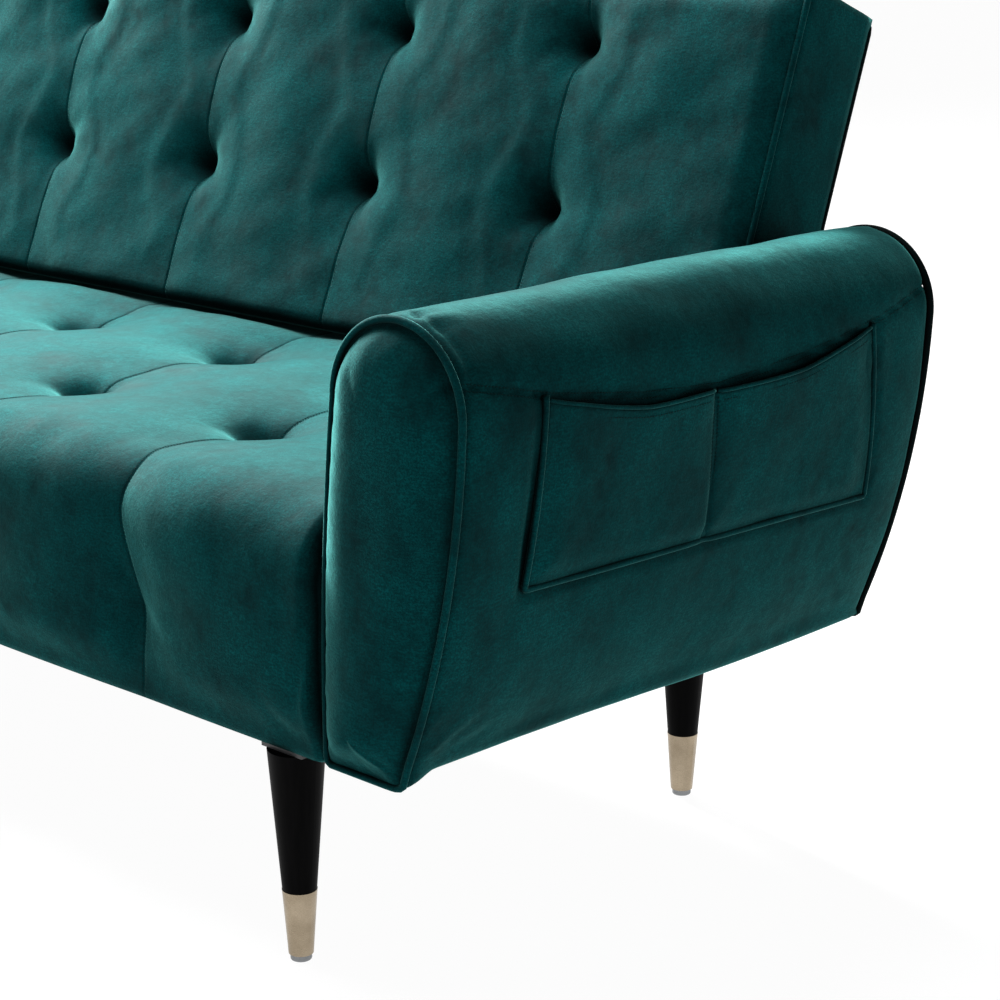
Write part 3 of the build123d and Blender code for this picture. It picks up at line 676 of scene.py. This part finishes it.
# ---- backrest ----
def back_to_drawing(points):
    """From the backrest's own (x, w, u) to the drawing frame."""
    x, w, u = points[..., 0], points[..., 1], points[..., 2]
    y = BACK_FOOT[0] + w * math.cos(BACK_LEAN) + u * math.sin(BACK_LEAN)
    z = BACK_FOOT[1] - w * math.sin(BACK_LEAN) + u * math.cos(BACK_LEAN)
    return np.stack([x, y, z], -1)


def back_front(x, u):
    """How far the backrest's front stands forward of its piping plane."""
    gap = seam_gap(x, BACK_COLUMNS)
    edge = crown((BACK_REACH - np.abs(x)) / 46.0, 2.2)
    edge = edge * crown((u - BACK_LOW + 4.0) / 15.0, 2.2) * crown((BACK_HIGH - u) / 40.0, 2.2)
    rise = 11.0 + 5.5 * crown(gap / (PANEL / 2), 1.8) - 0.7 * bell(gap / 1.4)
    rise = rise - tufts(x, u, BACK_COLUMNS, BACK_ROWS, depths=(33.0, 33.0), cusp=(17, 18),
                        dip=(6.5, 76, 62), ripple=0.6)
    points = np.stack([x, 0 * x, u], -1)
    rise = rise + 1.0 * waves(points, 120, 7) + 0.4 * waves(points, 50, 8)
    return edge * rise


BAND_STEPS = 11  # strips across the backrest's side band


def make_back():
    """The tufted backrest pad."""
    x = graded(-BACK_REACH, BACK_REACH, 7.0, BACK_COLUMNS, TUFT_STEPS)
    u = graded(BACK_LOW, BACK_HIGH, 6.4, BACK_ROWS, (0, 2.5, 5.5, 9.0, 13.0, 17.5, 22.5))
    xx, uu = np.meshgrid(x, u, indexing="ij")
    front = np.stack([xx, -back_front(xx, uu), uu], -1)
    edge = np.minimum(np.minimum(BACK_REACH - np.abs(xx), uu - BACK_LOW), BACK_HIGH - uu)
    puff = 5.0 * crown(edge / 60, 2)
    rear = np.stack([xx, BACK_THICK + puff + 0.8 * waves(np.stack([xx, 0 * xx, uu], -1), 140, 9), uu], -1)
    nx, nu = len(x), len(u)
    points = [front.reshape(-1, 3), rear.reshape(-1, 3)]
    faces = [f[::-1] for f in grid_faces(nx, nu)] + grid_faces(nx, nu, start=nx * nu)
    rim = grid_rim(nx, nu)
    outward = np.zeros((len(rim), 3))
    border, behind = (side.reshape(-1, 3)[rim] for side in (front, rear))
    outward[:, 0] = np.sign(border[:, 0]) * np.isclose(np.abs(border[:, 0]), BACK_REACH)
    outward[:, 2] = 1.0 * np.isclose(border[:, 2], BACK_HIGH) - np.isclose(border[:, 2], BACK_LOW)
    strip = []
    for k in range(1, BAND_STEPS):
        t = k / BAND_STEPS
        band = border * (1 - t) + behind * t
        bulge = 1.6 * math.sin(math.pi * t) ** 0.7
        bulge = bulge + 0.5 * waves(band, 70, 12) * math.sin(math.pi * t)
        bulge = bulge * np.where(outward[:, 2] < 0, 0.3, 1.0)
        strip.append(band + outward * bulge[:, None])
    base = 2 * nx * nu
    points += strip
    rings = [rim] + [[base + k * len(rim) + i for i in range(len(rim))] for k in range(BAND_STEPS - 1)]
    rings.append([nx * nu + i for i in rim])
    for a, b in zip(rings[:-1], rings[1:]):
        faces += [list(quad) for quad in zip(a, turned(a), turned(b), b)]
    everything = back_to_drawing(np.vstack(points))
    pad = new_object("back_pad", everything, faces, VELVET, "backrest")
    inside = smooth((edge - 12) / 30)
    free = tuft_freedom(xx, uu, BACK_COLUMNS, BACK_ROWS) * inside
    rest = len(everything) - 2 * nx * nu
    held = np.r_[1.0 - free.ravel(), 1.0 - 0.6 * inside.ravel(), np.ones(rest)]
    settle(pad, held, pressure=2.5, cap=0.002)
    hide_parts("back_cover", "back_foam")


def pipe_back():
    """The rolls round the backrest's front and rear edges."""
    reach, low, high = BACK_REACH - 2.5, BACK_LOW + 7.0, BACK_HIGH - 0.5
    corners = [(-reach, low), (reach, low), (reach, high), (-reach, high)]
    line = rounded_loop(corners, [9, 9, 12, 12], 6.0)
    for name, w, r, material, slot in (("front", -0.5, 3.2, VELVET_ROLL, "velvet"),
                                       ("rear", BACK_THICK + 0.5, 3.8, VELVET_DARK, "black_piping")):
        path = back_to_drawing(np.stack([line[:, 0], np.full(len(line), w), line[:, 1]], -1))
        roll = make_tubes(f"back_piping_{name}", [path], r, material, "backrest", 12, True)
        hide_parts("back_piping")


def sew_back():
    """The stitches along the backrest's seams and the knots in its tufts."""
    lines = []
    v = np.linspace(BACK_LOW + 8, BACK_HIGH - 6, 160)
    for column in BACK_COLUMNS:
        for side in (-1, 1):
            c = np.full_like(v, column + side * 2.4)
            lines.append(back_to_drawing(np.stack([c, -back_front(c, v) - 0.05, v], -1)))
    stitches = make_stitches("back_seam_stitches", lines, "backrest")
    up = np.array([0, -math.cos(BACK_LEAN), math.sin(BACK_LEAN)])
    knots = []
    for column in BACK_COLUMNS:
        for row in BACK_ROWS:
            w = -float(back_front(np.array([column]), np.array([row]))[0])
            knots.append((back_to_drawing(np.array([column, w, row])) + 0.6 * up, up))
    ties = make_knots("back_tuft_knots", knots, "backrest")
    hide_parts("back_tuft_ties")


# ---- arms ----
def circle_through(a, b, c):
    """Centre and radius of the circle through three points."""
    a, b, c = (np.array(point, float) for point in (a, b, c))
    centre = np.linalg.solve([2 * (b - a), 2 * (c - a)], [b @ b - a @ a, c @ c - a @ a])
    return centre, math.dist(centre, a)


def arc(a, b, c, count=40):
    """Points on the circle through a, b and c, from a to c."""
    centre, radius = circle_through(a, b, c)
    start, middle, end = (math.atan2(y - centre[1], x - centre[0]) for x, y in (a, b, c))
    turn = (end - start) % (2 * math.pi)
    if (middle - start) % (2 * math.pi) > turn:
        turn -= 2 * math.pi
    angles = [start + turn * k / (count - 1) for k in range(count)]
    return [(centre[0] + radius * math.cos(t), centre[1] + radius * math.sin(t)) for t in angles]


def arm_outline(step):
    """The arm's outline (x from its inner face, z), from the inner bottom corner, up, over and down."""
    points = [(6, 192.5), (1.5, 195), (0, 201), (0, 245)] + arc((0, 245), (4.5, 375), (15, 491))
    points += arc((15, 491), (84, 560), (153, 491)) + arc((153, 491), (135, 348), (84, 192))[:-3]
    points += [(87.5, 196), (82, 192.5), (72, 192)]
    return resample(np.array(points, float), step, closed=True)


def top_seam_z(y):
    """Height of the stitched seam along the arm's outer side."""
    return np.interp(y, [0, 96, 200, 296, 400, 510, 596], [519, 496, 480, 472, 479, 495, 515])


POCKET_SEAM = 0.487  # share of the pocket panel's length that lies in front of its middle seam


def pocket_edges(v):
    """Front and rear limits of the pocket panel at height share v, 0 at its bottom."""
    return 82.0 + 4.0 * v, 528.0 - 27.0 * v


def pocket_bottom(y):
    """Height of the pocket panel's lower edge."""
    return np.interp(y, [70, 180, 296, 420, 525], [347, 343, 340, 336, 332])


ARM_FOLDS = [
    ((95, 8, 215), (112, 120, 300), 7.0, 2.2), ((92, 10, 204), (106, 150, 262), 6.0, 1.8),
    ((92, 20, 200), (98, 190, 230), 6.0, 1.5), ((100, 5, 240), (124, 80, 340), 8.0, 1.6),
    ((96, 6, 225), (116, 110, 285), 4.0, -1.6), ((90, 590, 205), (110, 480, 260), 7.0, 1.4),
    ((100, 8, 555), (103, 62, 559), 6.5, 2.3), ((118, 8, 544), (124, 70, 541), 6.0, 2.0),
    ((80, 8, 560), (80, 55, 560), 6.5, 1.8), ((60, 8, 556), (58, 50, 556), 6.0, 1.5),
    ((134, 8, 528), (140, 60, 520), 6.0, 1.6), ((146, 8, 508), (150, 50, 498), 6.0, 1.2),
    ((90, 10, 558), (92, 50, 559), 3.5, -1.4), ((110, 10, 549), (113, 56, 549), 3.5, -1.5),
    ((90, 588, 559), (88, 548, 560), 6.5, 1.5), ((118, 588, 544), (122, 550, 542), 6.0, 1.5),
    ((140, 500, 470), (135, 560, 380), 9.0, 1.3), ((148, 300, 468), (149, 350, 440), 7.0, 1.2),
]


def arm_skin(points, normal):
    """The arm's side skin with its undulation, folds, seam and pocket outline."""
    x, y, z = points[..., 0], points[..., 1], points[..., 2]
    lift = 0.9 * waves(points, 150, 21) + 0.35 * waves(points, 60, 22)
    end = np.minimum(y, ARM_LENGTH - y)
    lift = lift + 1.5 * smooth(end / 60) - 4.5 * bell(end / 7.0) + folds(points, ARM_FOLDS)
    outer = (x > 90) & (z > 300)
    seam = np.abs(z - top_seam_z(y))
    lift = lift - outer * (2.8 * bell(seam / 2.3) + 0.9 * bell(seam / 10) + pocket_groove(y, z))
    gathered = smooth((z - 505) / 30) * smooth((x - 50) / 30)
    lift = lift - gathered * 1.8 * bell((y - 17.0) / 2.6)
    lift = lift * np.where(z < 200, 0.25, 1.0) * (0.3 + 0.7 * smooth((x - 4) / 26))
    lifted = points + lift[..., None] * normal
    tuck = smooth((y - 8) / 30) * (1 - smooth((y - 120) / 330)) * smooth((260 - z) / 60)
    lifted[..., 2] += 7.5 * tuck
    return lifted


def pocket_groove(y, z):
    """How deep the skin is drawn in along the outside of the pocket panel's welt."""
    low = pocket_bottom(y)
    v = (z - low) / (top_seam_z(y) - low)
    front, rear = pocket_edges(v)
    beside = np.minimum(np.abs(y - front + 3.5), np.abs(y - rear - 3.5)) + 1000.0 * ((v < -0.03) | (v > 1.0))
    below = np.abs(z - low + 3.5) + 1000.0 * ((y < front - 4) | (y > rear + 4))
    return 3.8 * bell(np.minimum(beside, below) / 3.4)


def place_arm(points, side):
    """From the arm's own x, measured from its inner face, to the drawing frame."""
    out = np.array(points, float)
    out[..., 0] = side * (HALF + out[..., 0])
    return out


def arm_faces(faces, side):
    """Keeps the faces pointing outward on a mirrored arm."""
    return faces if side > 0 else [f[::-1] for f in faces]


FACE_RINGS, SPINE_STEPS = 16, 40


def make_arm_body(name, side, outline, normal2):
    """The arm's padded skin, closed by crowned front and rear faces."""
    y = graded(1.0, ARM_LENGTH - 1.0, 6.5, (6.0, 14.0, ARM_LENGTH - 6.0, ARM_LENGTH - 14.0), (0, 3.0))
    count = len(outline)
    stations = np.broadcast_to(y[:, None], (len(y), count))
    skin = np.stack(np.broadcast_arrays(outline[:, 0], stations, outline[:, 1]), -1)
    normal = np.stack(np.broadcast_arrays(normal2[:, 0], 0 * stations, normal2[:, 1]), -1)
    skin = arm_skin(skin, normal)
    faces = grid_faces(len(y), count, False, True)
    points = [skin.reshape(-1, 3)]
    used = len(y) * count
    low, high = np.array([46.0, 232.0]), np.array([84.0, 486.0])
    run = high - low
    share = np.round(np.clip(((outline - low) @ run) / (run @ run), 0, 1) * SPINE_STEPS) / SPINE_STEPS
    spine = low + share[:, None] * run
    for row, sign, full in ((0, -1, 19.0), (len(y) - 1, 1, 7.0)):
        rim = skin[row]
        previous = [row * count + k for k in range(count)]
        for k in range(1, FACE_RINGS + 1):
            t = (k / FACE_RINGS) ** 1.25
            flat = rim[:, [0, 2]] * (1 - t) + spine * t
            gap = np.linalg.norm(flat - rim[:, [0, 2]], axis=1)
            height = full * crown(gap / 50, 2.6) - 5.0 * bell(gap / 5.0)
            height = height * smooth((flat[:, 1] - 190) / 40) + 1.2 * smooth(gap / 30)
            ring = np.stack([flat[:, 0], rim[:, 1] + sign * height, flat[:, 1]], 1)
            level = ring * [1, 0, 1]
            detail = 0.6 * waves(ring, 90, 31) * smooth(gap / 25)
            detail += folds(level, FRONT_FOLDS) * smooth(gap / 12)
            detail += 0.55 * waves(level, 15, 33) * bell((gap - 10.0) / 8.0)
            ring[:, 1] += sign * detail
            if k == FACE_RINGS:
                ring[:, 1] = np.interp(share, *mean_by(share, ring[:, 1]))
            current = [used + i for i in range(count)]
            points.append(ring)
            used += count
            for quad in zip(previous, turned(previous), turned(current), current):
                faces.append(quad if sign > 0 else quad[::-1])
            previous = current
    everything = place_arm(np.vstack(points), side)
    pad = new_object(f"arm_pad_{name}", everything, arm_faces(faces, side), VELVET, "base")
    weld(pad, 0.00002)
    settle(pad, arm_held(pad, side))
    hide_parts(f"arm_cover_{name}", f"arm_foam_{name}")


def arm_held(pad, side):
    """How firmly each point is held: fully at seams, on the underside and behind the pocket."""
    points = np.array([v.co for v in pad.data.vertices]) * 1000.0 - [0.0, ROW_SHIFT_Y, 0.0]
    x, y, z = side * points[:, 0] - HALF, points[:, 1], points[:, 2]
    end = np.minimum(np.abs(y - 1.0), np.abs(y - ARM_LENGTH + 1.0))
    seam = np.where(x > 90, np.abs(z - top_seam_z(y)), 99.0)
    pocket = (x > 90) & (y > 66) & (y < 542) & (z > 322) & (z < top_seam_z(y) + 4)
    free = smooth((end - 2.0) / 10.0) * smooth((seam - 2.0) / 8.0) * smooth((z - 205.0) / 25.0)
    free = free * smooth((x - 3.0) / 20.0) * ~pocket
    return 1.0 - free


FRONT_FOLDS = [
    ((28, 0, 528), (48, 0, 500), 6.0, 0.8), ((40, 0, 538), (58, 0, 506), 6.0, -0.7),
    ((60, 0, 545), (70, 0, 515), 7.0, 0.7), ((100, 0, 470), (86, 0, 430), 12.0, -0.8),
]


def mean_by(keys, values):
    """Sorted distinct keys, and the mean of the values at each."""
    distinct = np.unique(keys)
    return distinct, np.array([values[keys == k].mean() for k in distinct])


def weld(obj, distance):
    """Joins vertices that lie on each other and makes the faces agree."""
    bm = bmesh.new()
    bm.from_mesh(obj.data)
    bmesh.ops.remove_doubles(bm, verts=bm.verts, dist=distance)
    bmesh.ops.dissolve_degenerate(bm, dist=distance, edges=bm.edges)
    bmesh.ops.recalc_face_normals(bm, faces=bm.faces)
    bm.to_mesh(obj.data)
    bm.free()


def outer_point(y, z, proud=0.0):
    """A point on or proud of the arm's outer side at a height, and the way out there."""
    over = z > SHOULDER_Z
    centre_x = np.where(over, CROWN_X, OUTER_CENTRE[0])
    centre_z = np.where(over, SHOULDER_Z, OUTER_CENTRE[1])
    radius = np.where(over, CROWN_RADIUS, OUTER_RADIUS)
    angle = np.arcsin(np.clip((z - centre_z) / radius, -1, 1))
    out = np.stack([np.cos(angle), 0 * y, np.sin(angle)], -1)
    place = np.stack([centre_x + radius * out[..., 0], y, z + 0 * y], -1)
    return place + np.asarray(proud)[..., None] * out, out


def stitch_line(y, z):
    """A row of stitches lying on the arm's real outer skin."""
    place, out = outer_point(y, z)
    return arm_skin(place, out) + 0.15 * out


OUTER_CENTRE, OUTER_RADIUS = circle_through((153, 491), (135, 348), (84, 192))
SHOULDER_Z, CROWN_X, CROWN_RADIUS = 491.0, 84.0, 69.0


def pocket_point(s, v, proud):
    """A point of the pocket panel: s from its front edge to its rear edge, v from bottom to top."""
    front, rear = pocket_edges(v)
    y = front + (rear - front) * s
    low = pocket_bottom(y)
    seam = POCKET_SEAM
    slack = np.where(s < seam, np.sin(math.pi * s / seam), np.sin(math.pi * (s - seam) / (1 - seam)))
    slack = np.clip(slack, 0, 1)
    high = top_seam_z(y) - 3.0 - 5.0 * slack ** 1.3
    z = low + (high - low) * v
    out = proud + 3.6 * slack * smooth((v - 0.35) / 0.65)
    out = out + 2.6 * smooth(np.minimum(s, 1 - s) * 14) * smooth(v * 8)
    out = out - 2.0 * bell((s - seam) / 0.006) - 1.2 * bell((s - seam) / 0.03)
    return outer_point(y, z, out)[0]


POCKET_FOLDS = [
    ((150, 108, 488), (147, 190, 430), 6.0, 1.5), ((150, 104, 480), (146, 150, 400), 5.0, 1.1),
    ((150, 306, 468), (146, 380, 430), 6.0, 1.5), ((150, 304, 460), (144, 350, 400), 5.0, 1.0),
    ((150, 290, 466), (145, 230, 420), 6.0, 1.0), ((150, 508, 488), (146, 450, 440), 6.0, 1.2),
    ((138, 300, 345), (143, 340, 400), 7.0, 0.9), ((138, 90, 352), (143, 150, 400), 7.0, 1.0),
]


MOUTHS = ((0.0, POCKET_SEAM), (POCKET_SEAM, 1.0))  # each pocket's share of the panel's length


def make_pocket(name, side):
    """The pocket panel with its slack lips."""
    s = graded(0.0, 1.0, 0.012, (POCKET_SEAM,), (0, 0.002, 0.005, 0.009))
    v = np.linspace(0, 1, 30)
    ss, vv = np.meshgrid(s, v, indexing="ij")
    outer = pocket_point(ss, vv, 1.9)
    outer[..., 0] += folds(outer, POCKET_FOLDS) + 0.5 * waves(outer, 70, 41)
    inner = outer.copy()
    inner[..., 0] -= 1.4
    ns, nv = len(s), len(v)
    faces = grid_faces(ns, nv) + [f[::-1] for f in grid_faces(ns, nv, start=ns * nv)]
    rim = grid_rim(ns, nv)
    for a, b in zip(rim, turned(rim)):
        faces.append([b, a, a + ns * nv, b + ns * nv])
    everything = place_arm(np.vstack([outer.reshape(-1, 3), inner.reshape(-1, 3)]), side)
    panel = new_object(f"arm_pocket_panel_{name}", everything, arm_faces(faces, side), VELVET, "base")
    weld(panel, 0.000001)
    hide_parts(f"arm_pocket_{name}")


def edge_pocket(name, side):
    """The pocket panel's rolled edge and the hems of its two mouths."""
    welt = [(0.0, t) for t in np.linspace(1.02, 0, 30)] + [(t, 0.0) for t in np.linspace(0, 1, 70)[1:-1]]
    welt = np.array(welt + [(1.0, t) for t in np.linspace(0, 1.02, 30)])
    path = place_arm(resample(pocket_point(welt[:, 0], welt[:, 1], 1.6), 4.0), side)
    roll = make_tubes(f"arm_pocket_welt_{name}", [path], 2.8, VELVET_ROLL, "base")
    lips = []
    for a, b in MOUTHS:
        t = np.linspace(a + 0.004, b - 0.004, 50)
        lips.append(place_arm(pocket_point(t, np.full_like(t, 1.0), 1.5), side))
    hem = make_tubes(f"arm_pocket_hem_{name}", lips, 1.7, VELVET_ROLL, "base", 8)


def stitch_arm(name, side):
    """The stitches beside the arm's seam and on its pocket panel."""
    rows = []
    y = np.linspace(6, ARM_LENGTH - 6, 150)
    for off in (-2.6, 2.6):
        rows.append(place_arm(stitch_line(y, top_seam_z(y) + off), side))
    t = np.linspace(0.03, 0.97, 60)
    for off in (-0.006, 0.006):
        rows.append(place_arm(pocket_point(np.full_like(t, POCKET_SEAM + off), t, 2.0), side))
    for a, b in MOUTHS:
        t = np.linspace(a + 0.02, b - 0.02, 60)
        rows.append(place_arm(pocket_point(t, np.full_like(t, 0.94), 2.0), side))
    stitches = make_stitches(f"arm_stitches_{name}", rows, "base")


def make_arm(name, side):
    """One complete arm."""
    outline = arm_outline(5.2)
    normal2 = loop_normals(outline)
    make_arm_body(name, side, outline, normal2)
    ends = (("front", 1.2, 3.1, 1.6, VELVET_ROLL, "velvet"),
            ("rear", ARM_LENGTH - 1.0, 3.8, 3.4, VELVET_DARK, "black_piping"))
    for end, y, r, sunk, material, slot in ends:
        ring = outline - sunk * normal2
        path = np.stack([ring[:, 0], np.full(len(ring), y), ring[:, 1]], 1)
        roll = make_tubes(f"arm_piping_{end}_{name}", [place_arm(path, side)], r, material, "base", 12, True)
        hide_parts(f"arm_piping_{name}")
    make_pocket(name, side)
    edge_pocket(name, side)
    stitch_arm(name, side)


# ---- underside ----
SHEET_REACH, SHEET_FRONT, SHEET_REAR, SHEET_Z = 866, 17, 527, 186.2


def make_dust_cover():
    """The black cloth stapled under the frame, slack between its staples."""
    x, y = np.linspace(-SHEET_REACH, SHEET_REACH, 134), np.linspace(SHEET_FRONT, SHEET_REAR, 40)
    xx, yy = np.meshgrid(x, y, indexing="ij")
    edge = np.minimum(np.minimum(SHEET_REACH - np.abs(xx), yy - SHEET_FRONT), SHEET_REAR - yy)
    sag = 3.5 * smooth(edge / 120) + 0.5 * waves(np.stack([xx, yy, 0 * xx], -1), 90, 51) * smooth(edge / 40)
    for leg_x, leg_y in LEGS:
        near = np.hypot(xx - leg_x, yy - leg_y)
        sag = sag * smooth((near - 30) / 60)
    low = np.stack([xx, yy, SHEET_Z - sag], -1)
    high = low + [0, 0, 0.6]
    nx, ny = len(x), len(y)
    middles = [(0.5 * (a + b), 0.5 * (c + d)) for a, b in zip(x, x[1:]) for c, d in zip(y, y[1:])]
    keep = [all(math.dist(middle, leg) >= 20 for leg in LEGS) for middle in middles]
    quads = grid_faces(nx, ny)
    lower = [f[::-1] for f, k in zip(quads, keep) if k]
    upper = [[v + nx * ny for v in f] for f, k in zip(quads, keep) if k]
    edges = [pair for f in lower for pair in zip(f, turned(f))]
    inner = set(edges)
    walls = [[b, a, a + nx * ny, b + nx * ny] for a, b in edges if (b, a) not in inner]
    everything = np.vstack([low.reshape(-1, 3), high.reshape(-1, 3)])
    sheet = new_object("seat_dust_sheet", everything, lower + upper + walls, BLACK_CLOTH, "base")
    drop_loose(sheet)
    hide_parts("seat_dust_cover")


def make_staples():
    """Wire staples along the dust sheet's long edges."""
    lines = (SHEET_FRONT + 5.0, SHEET_REAR - 5.0)
    spots = [(x, y) for y in lines for x in np.linspace(-850, 850, 35)]
    spots = [(x, y) for x, y in spots if all(math.hypot(x - a, y - b) >= 34 for a, b in LEGS)]
    bend = ((-5, 186.5), (-4.6, 185.4), (0, 185.3), (4.6, 185.4), (5, 186.5))
    spines = [[(x + reach, y, z) for reach, z in bend] for x, y in spots]
    pins = make_tubes("dust_sheet_staples", spines, 0.55, ZINC, "base", 6)


def drop_loose(obj):
    """Deletes vertices that no face uses."""
    bm = bmesh.new()
    bm.from_mesh(obj.data)
    loose = [v for v in bm.verts if not v.link_faces]
    bmesh.ops.delete(bm, geom=loose, context="VERTS")
    bm.to_mesh(obj.data)
    bm.free()


# ---- camera, light and floor ----
CAMERA_ANGLES = (43.33, 15.18, -0.06)  # degrees round from the front, down, and rolled
CAMERA_PLACE = (2.2262, -1.5604, 0.8924)  # metres
CAMERA_LENS = 87.58  # millimetres
LAMPS = [  # name, place, what it aims at, size in metres, watts
    ("key", (-2.5, 0.6, 2.3), (0.4, 0.0, 0.4), (1.2, 1.2), 700),
    ("overhead", (-0.3, 0.2, 2.6), (0.2, 0.0, 0.4), (2.2, 1.2), 130),
    ("front", (0.4, -3.6, 1.3), (0.6, 0.0, 0.3), (1.6, 1.0), 6),
    ("right", (3.6, -0.9, 1.3), (0.9, 0.0, 0.4), (1.4, 1.4), 8),
]
FLOOR_Z = -0.0003  # just under the glides, so the two don't flicker


def make_camera():
    """The viewing camera."""
    azimuth, elevation, roll = (math.radians(v) for v in CAMERA_ANGLES)
    data = bpy.data.cameras.new("camera")
    data.sensor_width = 36.0
    data.lens = CAMERA_LENS
    data.clip_start, data.clip_end = 0.05, 60
    camera = add_object("camera", data)
    turn = Matrix.Rotation(azimuth, 4, "Z") @ Matrix.Rotation(math.pi / 2 - elevation, 4, "X")
    camera.matrix_world = Matrix.Translation(CAMERA_PLACE) @ turn @ Matrix.Rotation(roll, 4, "Z")
    bpy.context.scene.camera = camera


def area_light(name, place, target, size, power):
    """A soft rectangular lamp aimed at a point."""
    data = bpy.data.lights.new(name, "AREA")
    data.shape = "RECTANGLE"
    data.size, data.size_y = size
    data.energy = power
    light = add_object(name, data)
    light.visible_camera = False
    aim = (Vector(target) - Vector(place)).to_track_quat("-Z", "Y").to_matrix().to_4x4()
    light.matrix_world = Matrix.Translation(place) @ aim


def make_stage():
    """Pale floor, pale surroundings and soft lamps."""
    size = 60.0
    corners = [(x * size, y * size, FLOOR_Z) for x, y in ((-1, -1), (1, -1), (1, 1), (-1, 1))]
    mesh = bpy.data.meshes.new("floor")
    mesh.from_pydata(corners, [], [(0, 1, 2, 3)])
    n = Nodes("pale_floor")
    tone = n.ramp(n.noise(3.0), 0.3, 0.7, (0.115, 0.115, 0.115), (0.12, 0.12, 0.12))
    mesh.materials.append(n.set(Base_Color=tone, Roughness=0.9, Specular_IOR_Level=0.05,
                                Emission_Color=(1, 1, 1, 1), Emission_Strength=0.96))
    floor = add_object("floor", mesh)
    world = bpy.data.worlds.new("studio")
    world.use_nodes = True
    tree = world.node_tree
    background = tree.nodes["Background"]
    background.inputs[0].default_value = (0.97, 0.98, 1.0, 1)
    split = tree.nodes.new("ShaderNodeSeparateXYZ")
    tree.links.new(tree.nodes.new("ShaderNodeTexCoord").outputs["Generated"], split.inputs[0])
    fade = tree.nodes.new("ShaderNodeMapRange")
    for key, value in (("From Min", 0.10), ("From Max", 0.26), ("To Min", 0.88), ("To Max", 0.04)):
        fade.inputs[key].default_value = value
    tree.links.new(split.outputs["Z"], fade.inputs["Value"])
    tree.links.new(fade.outputs["Result"], background.inputs[1])
    bpy.context.scene.world = world
    bpy.context.scene.view_settings.view_transform = "Standard"
    for lamp in LAMPS:
        area_light(*lamp)


# ---- everything together ----
dress_nodes()
make_camera()
make_seat()
make_back()
pipe_back()
sew_back()
for arm_name, arm_side in (("left", -1), ("right", 1)):
    make_arm(arm_name, arm_side)
make_dust_cover()
make_staples()
make_stage()
